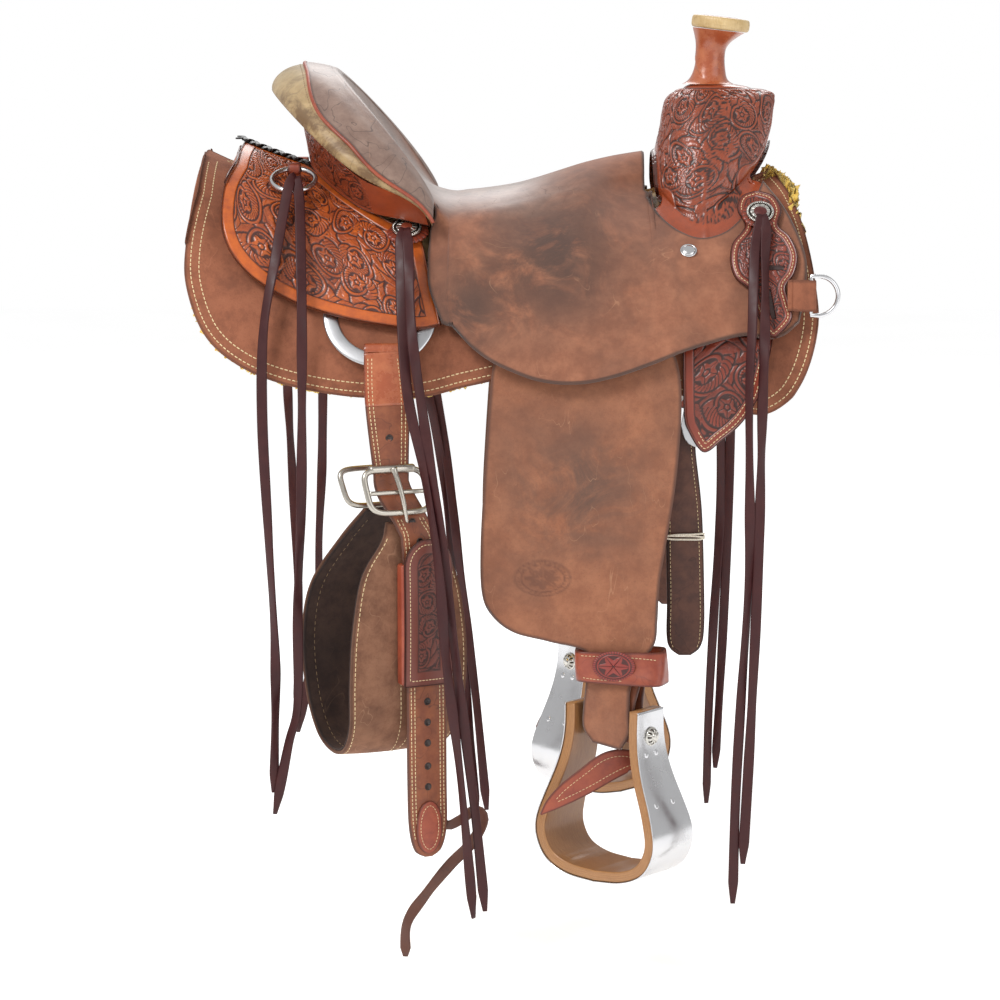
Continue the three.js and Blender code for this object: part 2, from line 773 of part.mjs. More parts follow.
function cantleBoard() {
  const span = THREE.MathUtils.degToRad(50);
  const rings = Array.from({ length: 15 }, (_, i) => {
    const theta = lerp(-span, span, i / 14);
    const out = outboard(theta);
    const topIn = crest(theta).addScaledVector(out, 14).add(vec(0, 0, -46));
    const topOut = crest(theta).addScaledVector(out, 28).add(vec(0, 0, -46));
    const base = cantleBase(theta).addScaledVector(out, -8);
    base.z = layerPoint(base.x, findP(base.x, { y: Math.abs(base.y) + 4 }, flat(36)), flat(36)).z;
    const baseIn = base.clone().addScaledVector(out, -26);
    baseIn.z = base.z;
    return [topIn, topOut, base, baseIn];
  });
  return loft(rings);
}

function makeTree() {
  const bar = barGeometry();
  add('saddle_tree', join(bar, mirrored(bar), forkBody(), cantleBoard()), 'tree');
}

// ---------- rigging ----------
function makeRigging() {
  const upper = [[205, -62], [222, -60], [243, -58], [266, -56], [290, -56], [312, -58]];
  const middle = [[205, -140], [213, -148], [238, -150], [262, -148], [284, -142], [304, -110]];
  const lower = [[206, -185], [210, -200], [228, -226], [250, -212], [272, -192], [292, -158]];
  const grid = railGrid([upper, middle, lower], 10, 6, flat(RIGGING_TOP));
  addPair('front_rigging', sheet(grid, 3), 'tooled');

  const top = [[202, -90], [216, -88], [232, -88], [248, -90]];
  const low = [[203, -196], [209, -214], [224, -220], [238, -200]];
  const steel = railGrid([top, low], 6, 5, flat(RIGGING_PLATE_TOP));
  addPair('rigging_plate', sheet(steel, 1.6), 'steel');

  // flat ring for the flank billet, bent to lie on the skirt
  const ring = { x: -135, z: -74, inner: 47, outer: 64 };
  const steps = 28;
  const sections = Array.from({ length: steps }, (_, i) => {
    const angle = (i / steps) * 2 * Math.PI;
    const spot = (radius, offset) => {
      const x = ring.x + radius * Math.cos(angle);
      const z = ring.z + radius * Math.sin(angle);
      return layerPoint(x, findP(x, { z }, flat(FLANK_RING_TOP)), flat(offset));
    };
    return [
      spot(ring.inner, FLANK_RING_TOP), spot(ring.outer, FLANK_RING_TOP),
      spot(ring.outer, FLANK_RING_TOP - 4), spot(ring.inner, FLANK_RING_TOP - 4),
    ];
  });
  addPair('flank_ring', loft(sections, true), 'steel');
}

// ---------- trim on the surface ----------
function normalAt(x, z, offset) {
  const p = findP(x, { z }, offset);
  const at = backSection(x, p);
  return { point: layerPoint(x, p, offset), normal: vec(0, at.ny, at.nz) };
}

function disc(radius, height, dome) {
  return lathe([[0, 0.4], [radius, 0.4], [radius, height * 0.5], [radius * 0.7, height], [0, height + dome]], 20);
}

function onSurface(geometry, x, z, offset, lift = 0) {
  const { point, normal } = normalAt(x, z, offset);
  return standOn(geometry, point.addScaledVector(normal, lift), normal);
}

const KEEPER_LIFT = 7;
const keeperTop = (x, z) => seatTop(x, z) + KEEPER_LIFT;

function makeTrim() {
  const left = [[273, 48], [264, 14], [261, -12], [274, -44], [288, -60], [294, -88]];
  const right = [[314, 40], [328, 12], [330, -14], [330, -44], [324, -66], [313, -93]];
  addPair('latigo_keeper', sheet(railGrid([left, right], 9, 5, keeperTop), 4), 'tooled');
  addPair('front_concho', onSurface(disc(17, 4, 2), 294, 36, keeperTop, 3.2), 'silver');
  addPair('mid_concho', onSurface(disc(20, 5, 3), -106, 16, rearJockeyTop, 3.8), 'silver');
  addPair('seat_screw', onSurface(disc(8, 2.5, 1), 213, -4, seatTop, 1), 'steel');

  const { point, normal } = normalAt(-236, 64, rearJockeyTop);
  const along = vec(1, 0, 0);
  const up = vec().crossVectors(normal, along);
  const centre = point.addScaledVector(normal, 11);
  const path = Array.from({ length: 24 }, (_, i) => {
    const angle = (i / 24) * 2 * Math.PI;
    return centre
      .clone()
      .addScaledVector(along, 25 * Math.cos(angle))
      .addScaledVector(up, 25 * Math.sin(angle));
  });
  addPair('rear_ring', ringBar(path, 3), 'steel');
}

// the breast-collar dee turns on its straight bar, just outside the skirt's front edge
const DEE_BAR = { x: 347, y: HALF_WIDTH + SKIRT_TOP + 7, high: -28, low: -72 };

function makeDees() {
  const { x, y, high, low } = DEE_BAR;
  const middle = (high + low) / 2;
  const half = (high - low) / 2;
  const path = [vec(x, y, low), vec(x, y, lerp(low, high, 0.33)), vec(x, y, lerp(low, high, 0.66)), vec(x, y, high)];
  for (let i = 1; i < 10; i += 1) {
    const angle = Math.PI / 2 - (i / 10) * Math.PI;
    path.push(vec(x + 8 + 22 * Math.cos(angle), y, middle + half * Math.sin(angle)));
  }
  addPair('breast_dee', ringBar(path, 2.6), 'steel');
}

// ---------- fenders and stirrups ----------
// inner face of the fender: leaning out from under the seat, then hanging straight down
function fenderInnerY(z) {
  const bend = 24;
  const lean = (at) => FENDER_Y + FENDER_LEAN * (HEM_Z - at);
  if (z > FENDER_STRAIGHT_Z + bend) {
    return lean(z);
  }
  if (z < FENDER_STRAIGHT_Z - bend) {
    return lean(FENDER_STRAIGHT_Z);
  }
  const t = (FENDER_STRAIGHT_Z + bend - z) / (2 * bend);
  return lean(FENDER_STRAIGHT_Z + bend) + FENDER_LEAN * bend * (2 * t - t * t);
}

// the leathers turn towards the stirrup's own direction over their last stretch
const stirrupTwist = (z) => Math.tan(STIRRUP_TURN * smooth((-430 - z) / 100));
const TAIL_X = 118.5;
const TAIL_HALF = 25;

function fenderGrid() {
  const tail = (z, side) => [TAIL_X + side * TAIL_HALF, z];
  const left = [
    [86, -88], [45, -92], [15, -102], [-6, -123], [-12, -170], [-18, -255], [-22, -335], [-20, -385],
    [-8, -410], [16, -428], [56, -439], [97, -452], [96, -490], tail(-515, -1), tail(-540, -1), [104, -556],
  ];
  const right = [
    [114, -88], [150, -92], [182, -101], [198, -123], [203, -170], [197, -255], [185, -335], [180, -365],
    [178, -392], [177, -415], [174, -440], [158, -462], [146, -488], tail(-515, 1), tail(-540, 1), [134, -560],
  ];
  const edges = [spline(left, 34), spline(right, 34)];
  return edges[0].map((a, i) => {
    const b = edges[1][i];
    return [0, 0.25, 0.5, 0.75, 1].map((t) => {
      const x = lerp(a.x, b.x, t);
      const z = lerp(a.y, b.y, t);
      return vec(x, fenderInnerY(z) + LEATHER + (x - TAIL_X) * stirrupTwist(z), z);
    });
  });
}

// a spot on the leathers: s across them, away outward from the fender's inner face
function tailSpot(s, away, z) {
  const turn = Math.atan(stirrupTwist(z));
  const across = vec(Math.cos(turn), Math.sin(turn), 0);
  const out = vec(-Math.sin(turn), Math.cos(turn), 0);
  const at = vec(TAIL_X, fenderInnerY(z), z).addScaledVector(across, s).addScaledVector(out, away);
  return { at, across, out };
}

const LOOP_R = 9;
const STRAP_WIDE = 64;
const LEATHER_BACK = -15;
const bolt = tailSpot(1.6, LEATHER_BACK, BOLT_Z);
const boltAxis = bolt.across;
const outward = bolt.out;
const boltCentre = bolt.at;

// the stirrup leather comes down behind the fender, goes round the bolt and back up
function stirrupLeather() {
  const station = (z, away, side) => {
    const s = lerp(lerp(-18, 14, smooth((-240 - z) / 180)), 1.6, smooth((-440 - z) / 90));
    const { at, across, out } = tailSpot(s, away, z);
    return { at, wide: across.multiplyScalar(STRAP_WIDE), thick: out.multiplyScalar(5 * side) };
  };
  const stations = [-96, -140, -190, -221, -250, -320, -400, -430, -455, -480, -505, -530].map((z) =>
    station(z, z > -240 ? -4 : LEATHER_BACK + LOOP_R, 1),
  );
  const turns = 8;
  for (let i = 0; i <= turns; i += 1) {
    const angle = (i / turns) * Math.PI;
    const ray = outward.clone().multiplyScalar(Math.cos(angle)).add(vec(0, 0, -Math.sin(angle)));
    stations.push({
      at: boltCentre.clone().addScaledVector(ray, LOOP_R),
      wide: boltAxis.clone().multiplyScalar(STRAP_WIDE),
      thick: ray.clone().multiplyScalar(5),
    });
  }
  for (const z of [-530, -505, -480, -455]) {
    stations.push(station(z, LEATHER_BACK - LOOP_R, -1));
  }
  return strap(stations);
}

// the band that holds the leathers together above the stirrup
const HOBBLE = { z: -467, s: 17, away: -10.5, long: 48.5, deep: 20, tall: 36, thick: 3 };

function hobbleStrap() {
  const steps = 24;
  const half = HOBBLE.tall / 2;
  const rings = Array.from({ length: steps }, (_, i) => {
    const angle = (i / steps) * 2 * Math.PI;
    const c = Math.cos(angle);
    const s = Math.sin(angle);
    const spot = (grow, z) =>
      tailSpot(
        HOBBLE.s + Math.sign(c) * Math.abs(c) ** 0.4 * (HOBBLE.long + grow),
        HOBBLE.away + Math.sign(s) * Math.abs(s) ** 0.4 * (HOBBLE.deep + grow),
        HOBBLE.z + z,
      ).at;
    const { thick } = HOBBLE;
    return [spot(0, -half), spot(thick, -half), spot(thick, 0), spot(thick, half), spot(0, half), spot(0, 0)];
  });
  return loft(rings, true);
}

// half of the stirrup's outline, from its top to the middle of the tread: [half width, z, half depth]
const stirrupOutline = [
  [50, -513, 24], [50, -541, 25], [53, -565, 27], [60, -590, 30], [72, -620, 34], [79, -640, 37],
  [82, -656, 38], [80, -671, 38], [72, -687, 38], [58, -699, 38], [34, -707, 38], [0, -710, 38],
];

function stirrupPath(grow) {
  const half = spline(stirrupOutline, 16);
  const whole = [...half.slice(0, -1), ...half.slice().reverse().map((q) => vec(-q.x, q.y, q.z))];
  return whole.map((q, i) => {
    const before = whole[Math.max(i - 1, 0)];
    const after = whole[Math.min(i + 1, whole.length - 1)];
    const tangent = vec(after.x - before.x, after.y - before.y, 0).normalize();
    const out = vec(-tangent.y, tangent.x, 0);
    if (out.dot(vec(q.x, q.y + 620, 0)) < 0) {
      out.negate();
    }
    return { s: q.x + out.x * grow, z: q.y + out.y * grow, depth: q.z };
  });
}

function stirrupBand(inside, outside, widen) {
  const a = stirrupPath(inside);
  const b = stirrupPath(outside);
  const spot = ({ s, z }, depth) =>
    boltCentre.clone().setZ(z).addScaledVector(boltAxis, s).addScaledVector(outward, depth);
  return loft(
    a.map((q, i) => {
      const depth = q.depth + widen;
      return [spot(q, -depth), spot(b[i], -depth), spot(b[i], depth), spot(q, depth)];
    }),
  );
}

function boltSolid(radius, head) {
  const profile = head
    ? [[0, -58], [9, -58], [9, -54.5], [radius, -54.5], [radius, 54.5], [11, 54.5], [11, 58], [6, 60.5], [0, 60.5]]
    : [[0, -70], [radius, -70], [radius, 70], [0, 70]];
  return standOn(lathe(profile, 16), boltCentre, boltAxis);
}

function makeStirrups() {
  addPair('fender', sheet(fenderGrid(), LEATHER), 'roughout');
  addPair('stirrup_leather', stirrupLeather(), 'tooled');
  addPair('hobble_strap', hobbleStrap(), 'tooled');
  const hole = boltSolid(BOLT_R + 0.5, false);
  addPair('stirrup', cut(stirrupBand(-STIRRUP_WOOD, 0, 0), hole), 'oak');
  addPair('stirrup_plate', cut(stirrupBand(0.3, 0.3 + STIRRUP_PLATE, 0), hole), 'steel');
  addPair('stirrup_bolt', boltSolid(BOLT_R, true), 'silver');
}

// ---------- billets, latigo and flank cinch ----------
const RING_LOW_Z = -130;

// a strap hanging down the side; rows give z, centre x, width and centre y, and the strap's own turn
function hangingStrap(rows, thick, turn = 0) {
  const across = vec(Math.cos(turn), Math.sin(turn), 0);
  const out = vec(-Math.sin(turn), Math.cos(turn), 0);
  return strap(
    rows.map(([z, x, wide, y]) => ({
      at: vec(x, y, z),
      wide: across.clone().multiplyScalar(wide),
      thick: out.clone().multiplyScalar(thick),
    })),
  );
}

// both straps hang from the rigging plates and lean in under the skirts
function makeBillets() {
  const billet = [
    [-200, 208, 24, 207], [-230, 206, 28, 206], [-300, 208, 40, 200], [-396, 211, 42, 190],
    [-440, 211, 42, 187], [-456, 211, 34, 186], [-464, 211, 16, 186],
  ];
  add('off_billet_right', mirrored(hangingStrap(billet, 9)), 'dark');
  const latigo = [
    [-200, 208, 24, 207], [-230, 206, 28, 206], [-300, 208, 38, 199], [-400, 210, 40, 189], [-452, 210, 40, 186],
    [-468, 210, 18, 186],
  ];
  add('latigo_left', hangingStrap(latigo, 8), 'dark');
}

const CINCH = { x: -104, y: 246, spacing: 112, top: -292, low: -566, thick: 6 };
const cinchAcross = vec(Math.cos(CINCH_TURN), -Math.sin(CINCH_TURN), 0);
const cinchBack = vec(-Math.sin(CINCH_TURN), -Math.cos(CINCH_TURN), 0);

// the flank cinch hangs folded double: down in front, round the bottom and up behind
// a spot beside the cinch's front leg: s across it, away outward from its middle
const cinchSpot = (s, away, z) =>
  vec(CINCH.x, CINCH.y, z).addScaledVector(cinchAcross, s).addScaledVector(cinchBack, -away);

function makeCinch() {
  const { spacing, low, thick } = CINCH;
  const spine = [
    [2, -300, 52], [0, -322, 66], [-3, -360, 118], [-4, -420, 142], [-2, -480, 148], [8, -530, 140],
    [34, -560, 132], [70, low, 128], [104, -550, 130], [122, -505, 140], [124, -440, 148], [112, -380, 136],
    [84, -328, 90], [52, -290, 54],
  ];
  const curve = spline(spine, 34);
  const turns = curve.map((q, i) => {
    const before = curve[Math.max(i - 1, 0)];
    const after = curve[Math.min(i + 1, curve.length - 1)];
    const tangent = vec(after.x - before.x, after.y - before.y, 0).normalize();
    const inward = cinchBack.clone().multiplyScalar(-tangent.y).add(vec(0, 0, tangent.x));
    return {
      at: cinchSpot(0, (-q.x * spacing) / 120, q.y),
      wide: cinchAcross.clone().multiplyScalar(q.z),
      thick: inward.multiplyScalar(thick),
    };
  });
  add('flank_cinch', mirrored(strap(turns)), 'roughout');

  // the billet comes down from its ring, through the buckle, and hangs outside the cinch
  const upper = [[-112, -129, 46, 232, 0], [-165, -126, 50, 236, 0.1], [-240, -122, 42, 246, 0.6], [-264, -119, 42, 250, 0.8]];
  const lowerRows = [[-300, 0, 42, 10], [-330, 8, 46, 15], [-440, 14, 50, 16], [-482, 15, 50, 16], [-600, 18, 50, 12], [-650, 19, 48, 12], [-682, 19, 18, 12]];
  const stations = upper.map(([z, x, wide, y, turned]) => ({ at: vec(x, y, z), wide, turned }));
  for (const [z, s, wide, away] of lowerRows) {
    stations.push({ at: cinchSpot(s, away, z), wide, turned: 1 });
  }
  const billet = strap(
    stations.map(({ at, wide, turned }) => ({
      at,
      wide: vec(Math.cos(CINCH_TURN * turned), -Math.sin(CINCH_TURN * turned), 0).multiplyScalar(wide),
      thick: vec(Math.sin(CINCH_TURN * turned), Math.cos(CINCH_TURN * turned), 0).multiplyScalar(5),
    })),
  );
  add('flank_billet_right', mirrored(billet), 'tooled');

  // the keeper is a sleeve round the billet's tail, on the cinch's outer face
  const steps = 20;
  const keeper = Array.from({ length: steps }, (_, i) => {
    const angle = (i / steps) * 2 * Math.PI;
    const c = Math.cos(angle);
    const s = Math.sin(angle);
    const spot = (grow, z) =>
      cinchSpot(
        14 + Math.sign(c) * Math.abs(c) ** 0.35 * (30 + grow),
        16 + Math.sign(s) * Math.abs(s) ** 0.35 * (5 + grow),
        z,
      );
    return [spot(0, -482), spot(3, -482), spot(3, -345), spot(0, -345)];
  });
  add('cinch_keeper', mirrored(loft(keeper, true)), 'tooled');

  const frame = (centre, halfWide, halfTall, across, up) => {
    const corners = 20;
    return Array.from({ length: corners }, (_, i) => {
      const angle = ((i + 0.5) / corners) * 2 * Math.PI;
      const c = Math.cos(angle);
      const s = Math.sin(angle);
      return centre
        .clone()
        .addScaledVector(across, Math.sign(c) * Math.abs(c) ** 0.5 * halfWide)
        .addScaledVector(up, Math.sign(s) * Math.abs(s) ** 0.5 * halfTall);
    });
  };
  const wide = vec(Math.cos(0.42), -Math.sin(0.42), 0);
  const front = frame(vec(-114.5, 261.5, -264), 36, 25, wide, vec(-0.25, -0.22, 1).normalize());
  add('cinch_buckle_front', mirrored(ringBar(front, 3.4)), 'nickel');
  const back = frame(vec(-146, 224, -264), 34, 22, cinchAcross, vec(-0.3, -0.3, 0.9).normalize());
  add('cinch_buckle_back', mirrored(ringBar(back, 3.2)), 'nickel');
}

// ---------- laces ----------
// a flat lace along hand-placed points, outer width and thickness given
function lace(route, width, thickness, steps) {
  const curve = new THREE.CatmullRomCurve3(route.map(([x, y, z]) => vec(x, y, z)), false, 'centripetal');
  const section = new THREE.Shape();
  const sides = 8;
  for (let k = 0; k < sides; k += 1) {
    const angle = ((k + 0.5) / sides) * 2 * Math.PI;
    const point = [(thickness / 2) * Math.cos(angle), (width / 2) * Math.sin(angle)];
    if (k === 0) {
      section.moveTo(...point);
    } else {
      section.lineTo(...point);
    }
  }
  section.closePath();
  const geometry = new THREE.ExtrudeGeometry(section, { steps, extrudePath: curve, bevelEnabled: false });
  return fixed(welded(geometry));
}

// each pair of strings is one long lace, pulled through at its middle, so both its ends hang
const frontStrings = [
  [264, STRING_Y, -738], [266, STRING_Y, -620], [271, STRING_Y, -506], [279, STRING_Y, -346],
  [277, STRING_Y, -165], [281, 250, -9], [290, 246, 30], [296, 245, 43], [301, 246, 30], [296, 250, -9],
  [292, STRING_Y, -165], [289, STRING_Y, -346], [283, STRING_Y, -520], [275, STRING_Y, -692],
];
const midStrings = [
  [-17, STRING_Y, -747], [-27, 262, -640], [-34, 274, -578], [-51, 280, -439], [-67, 278, -302],
  [-84, 264, -189], [-98, 247, -88], [-103, 196, 0], [-107, 176, 22], [-112, 196, -6],
  [-104, 256, -144], [-84, 268, -245], [-68, 286, -348], [-60, 288, -451], [-44, 276, -590], [-30, STRING_Y, -755],
];
const rearStrings = [
  [-257, 226, -615], [-254, 226, -464], [-260, 228, -326], [-266, 228, -190], [-264, 224, -89],
  [-252, 196, -11], [-240, 140, 66], [-232, 128, 78], [-227, 150, 50], [-223, 200, -20], [-221, 226, -89],
  [-223, 229, -281], [-228, 228, -395], [-229, 227, -510], [-240, 226, -560], [-256, 226, -640],
];

const onRight = (route) => route.map(([x, y, z]) => [x, -y, z]);
const STRING_WIDE = 12;
const STRING_THICK = 3;

function makeStrings() {
  const pairs = { front_strings: frontStrings, mid_strings: midStrings, rear_strings: rearStrings };
  for (const [name, route] of Object.entries(pairs)) {
    add(`${name}_left`, lace(route, STRING_WIDE, STRING_THICK, 32), 'lace');
    add(`${name}_right`, lace(onRight(route), STRING_WIDE, STRING_THICK, 32), 'lace');
  }
  const connector = [
    [-90, 238, -574], [-84, 234, -592], [-74, 229, -628], [-62, 228, -652], [-45, 230, -646], [-28, 232, -634],
    [-19, 232, -645], [-32, 232, -672], [-57, 232, -698], [-85, 232, -733], [-106, 232, -766], [-108, 232, -805],
  ];
  add('connector_strap', lace(onRight(connector), 13, 4, 30), 'dark');
}

makeTree();
makeHorn();
makeSwellCover();
makeSkirts();
makeRearJockeys();
makeSeat();
makeCantle();
makeRigging();
makeTrim();
makeDees();
makeStirrups();
makeBillets();
makeCinch();
makeStrings();

export default saddle;
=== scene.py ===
import math

import bpy
import numpy as np
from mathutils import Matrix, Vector
from mathutils.bvhtree import BVHTree
from mathutils.kdtree import KDTree


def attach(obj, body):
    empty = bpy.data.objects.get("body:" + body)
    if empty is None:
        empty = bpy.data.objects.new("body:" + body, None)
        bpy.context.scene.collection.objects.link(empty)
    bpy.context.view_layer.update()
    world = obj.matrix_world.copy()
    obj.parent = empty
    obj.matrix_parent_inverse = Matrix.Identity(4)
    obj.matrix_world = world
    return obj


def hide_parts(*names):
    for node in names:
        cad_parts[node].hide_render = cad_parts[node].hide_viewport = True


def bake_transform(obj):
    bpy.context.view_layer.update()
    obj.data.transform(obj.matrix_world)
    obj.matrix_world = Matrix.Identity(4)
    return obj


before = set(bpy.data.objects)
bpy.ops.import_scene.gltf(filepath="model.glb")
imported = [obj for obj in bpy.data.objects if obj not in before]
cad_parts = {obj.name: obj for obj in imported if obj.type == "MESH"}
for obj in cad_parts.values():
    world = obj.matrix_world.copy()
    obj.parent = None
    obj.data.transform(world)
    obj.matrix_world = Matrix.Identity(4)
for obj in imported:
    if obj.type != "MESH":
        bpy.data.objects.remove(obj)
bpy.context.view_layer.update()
MM = 0.001
STITCH_HIGH = 0.55
SHORTEST_RUN = 24
STRAP_SIDES = 28
PUNCH = 3.2
LEATHER_THICK = 5
COVER_THICK = 4
SIDES = {"right": -1, "left": 1}


# ---------- camera ----------
CAMERA_LENS = 123.12
CAMERA_PLACE = (0, -4.03, 0.25527)
CAMERA_TILT = 8


def make_camera():
    """A camera on the off side, a little above the saddle and tilted down to it."""
    data = bpy.data.cameras.new("camera")
    data.lens = CAMERA_LENS
    data.sensor_width = 36
    data.clip_end = 50
    camera = bpy.data.objects.new("camera", data)
    camera.location = CAMERA_PLACE
    camera.rotation_euler = (math.radians(90 - CAMERA_TILT), 0, 0)
    bpy.context.scene.collection.objects.link(camera)
    bpy.context.scene.camera = camera


make_camera()

# ---------- small maths ----------
def smooth(t):
    c = np.clip(t, 0, 1)
    return c * c * (3 - 2 * c)


def lerp(a, b, t):
    return a + (b - a) * t


def unit(v):
    v = np.asarray(v, float)
    return v / np.maximum(np.linalg.norm(v, axis=-1, keepdims=True), 1e-12)


def ridge(value, middle, width):
    """A smooth ridge: 1 where the value is at its middle, and 0 a few widths away."""
    return np.exp(-(((value - middle) / width) ** 2))


def squarer(v, power):
    """A cosine or sine pushed outwards, which turns a circle into a rounded square."""
    return np.sign(v) * np.abs(v) ** power


def full_turn(count):
    """Evenly spaced angles round a circle, without the last one."""
    return np.linspace(0, 2 * np.pi, count, endpoint=False)


def spline(points, steps):
    """Points along a smooth curve through the given ones, evenly spaced in its own parameter."""
    p = np.asarray(points, float)
    ends = np.concatenate([[2 * p[0] - p[1]], p, [2 * p[-1] - p[-2]]])
    at = np.linspace(0, len(p) - 1, steps + 1)
    i = np.minimum(at.astype(int), len(p) - 2)
    shape = (-1,) + (1,) * (p.ndim - 1)
    t = (at - i).reshape(shape)
    a, b, c, d = ends[i], ends[i + 1], ends[i + 2], ends[i + 3]
    first, last = (c - a) / 2, (d - b) / 2
    return (2 * (b - c) + first + last) * t**3 + (3 * (c - b) - 2 * first - last) * t**2 + first * t + b


def evenly(points, step):
    """The curve through points again, with points about step apart."""
    fine = spline(points, 40 * len(points))
    along = np.concatenate([[0], np.cumsum(np.linalg.norm(np.diff(fine[:, :3], axis=0), axis=1))])
    at = np.linspace(0, along[-1], max(3, int(round(along[-1] / step)) + 1))
    return np.stack([np.interp(at, along, fine[:, k]) for k in range(fine.shape[1])], axis=1)


def refine(grid, rows, columns):
    """A grid of control points made finer, smoothly, in both directions."""
    tall = spline(grid, rows)
    return np.swapaxes(spline(np.swapaxes(tall, 0, 1), columns), 0, 1)


# ---------- the horse's back, as in the CAD model ----------
HALF_WIDTH = 195
HEM_Z = -165
DIP_X = -20
DIP_Z = 5
REAR_RISE = 0.00076
FRONT_RISE = 0.000586
REAR_CROWN = 1.9
FRONT_CROWN = 1.3
SIDE_POWER = 1.9
CHANNEL = 38
LACED_GAP = 4


def spine_z(x):
    away = np.asarray(x, float) - DIP_X
    return DIP_Z + np.where(away < 0, REAR_RISE, FRONT_RISE) * away**2


def back_section(x, p):
    """A point of the smooth back at x, p of the way round from the ridge, and its outward direction."""
    rise = spine_z(x) - HEM_Z
    crown = lerp(REAR_CROWN, FRONT_CROWN, smooth((x + 150) / 300))
    q = np.clip(p, 1e-5, 1)
    across = np.sin(q * np.pi / 2) ** (2 / crown)
    height = np.maximum(np.cos(q * np.pi / 2), 0) ** (2 / SIDE_POWER)
    gy = crown / HALF_WIDTH * across ** (crown - 1)
    gz = SIDE_POWER / rise * height ** (SIDE_POWER - 1)
    size = np.hypot(gy, gz)
    over = np.asarray(p) >= 1
    y = np.where(over, HALF_WIDTH, HALF_WIDTH * across)
    z = np.where(over, HEM_Z - (p - 1) * rise, HEM_Z + rise * height)
    return y, z, np.where(over, 1, gy / size), np.where(over, 0, gz / size)


def flat(offset):
    return lambda x, z: offset


def layer_point(x, p, offset):
    """A point that lies offset(x, z) outside the smooth back."""
    x, p = np.broadcast_arrays(np.asarray(x, float), np.asarray(p, float))
    y, z, ny, nz = back_section(x, p)
    off = offset(x, z)
    return np.stack([x, y + off * ny, z + off * nz], axis=-1)


def find_p(x, target, offset, by_y=False):
    """How far round from the ridge a layer reaches a given height, or a given y."""
    x, target = np.broadcast_arrays(np.asarray(x, float), np.asarray(target, float))
    low, high = np.zeros(x.shape), np.full(x.shape, 5.0)
    for _ in range(40):
        p = (low + high) / 2
        point = layer_point(x, p, offset)
        past = point[..., 1] > target if by_y else point[..., 2] < target
        high = np.where(past, p, high)
        low = np.where(past, low, p)
    return (low + high) / 2


def on_layer(x, z, offset):
    """The points of a layer at given x and z."""
    return layer_point(x, find_p(x, z, offset), offset)


def normal_at(x, z, offset):
    p = find_p(x, z, offset)
    _, _, ny, nz = back_section(np.asarray(x, float), p)
    return layer_point(x, p, offset), np.array([0, float(ny), float(nz)])


def rail_grid(rails, columns, rows, offset):
    """A grid between rails; a rail's point is (x, z), or (x, None, y) where its y is set."""
    lines = []
    for rail in rails:
        knots = []
        for point in rail:
            by_y = len(point) == 3
            knots.append([point[0], float(find_p(point[0], point[-1], offset, by_y))])
        lines.append(spline(knots, columns))
    inner = np.stack(lines, axis=1)
    fine = np.stack([spline(row, rows) for row in inner])
    return layer_point(fine[..., 0], fine[..., 1], offset)


# ---------- meshes ----------
def mirror(points):
    out = np.array(points, float)
    out[..., 1] *= -1
    return out


def on_side(points, side):
    """Points made for the left side, mirrored for the right one."""
    return points if side > 0 else mirror(points)


def cells(rows, columns, present=None):
    i, j = np.meshgrid(np.arange(rows - 1), np.arange(columns - 1), indexing="ij")
    if present is not None:
        i, j = i[present], j[present]
    a = (i * columns + j).ravel()
    return np.stack([a, a + columns, a + columns + 1, a + 1], axis=1)


def vertex_normals(points, faces):
    p = points[faces]
    face = np.cross(p[:, 2] - p[:, 0], p[:, -1] - p[:, 1])
    out = np.zeros_like(points)
    for k in range(faces.shape[1]):
        np.add.at(out, faces[:, k], face)
    return unit(out)


def outward_faces(points, faces, middle):
    """Turns all the faces over if they look at the line through middle along X."""
    normals = vertex_normals(points, faces)
    away = points - np.asarray(middle, float)
    away[:, 0] = 0
    return faces[:, ::-1] if (normals * away).sum() < 0 else faces


def make_mesh(name, points, faces, material, attributes=None):
    """A Blender object from points in millimetres and arrays of faces with equal corner counts."""
    groups = faces if isinstance(faces, list) else [faces]
    groups = [g for g in groups if len(g)]
    corners = np.concatenate([g.ravel() for g in groups])
    counts = np.concatenate([np.full(len(g), g.shape[1]) for g in groups])
    mesh = bpy.data.meshes.new(name)
    mesh.vertices.add(len(points))
    mesh.vertices.foreach_set("co", (np.asarray(points, float) * MM).astype(np.float32).ravel())
    mesh.loops.add(len(corners))
    mesh.loops.foreach_set("vertex_index", corners.astype(np.int32))
    mesh.polygons.add(len(counts))
    starts = np.concatenate([[0], np.cumsum(counts)[:-1]])
    mesh.polygons.foreach_set("loop_start", starts.astype(np.int32))
    mesh.update(calc_edges=True)
    mesh.validate()
    mesh.shade_smooth()
    for key, values in (attributes or {}).items():
        layer = mesh.attributes.new(key, "FLOAT", "POINT")
        layer.data.foreach_set("value", np.asarray(values, np.float32))
    mesh.materials.append(material)
    thing = bpy.data.objects.new(name, mesh)
    bpy.context.scene.collection.objects.link(thing)
    return thing


def open_edges(faces, count):
    """The edges that have a face on one side only, as pairs of point numbers."""
    width = faces.shape[1]
    edges = np.concatenate([faces[:, [k, (k + 1) % width]] for k in range(width)])
    keys = edges[:, 0].astype(np.int64) * count + edges[:, 1]
    back = edges[:, 1].astype(np.int64) * count + edges[:, 0]
    return edges[~np.isin(keys, back)]


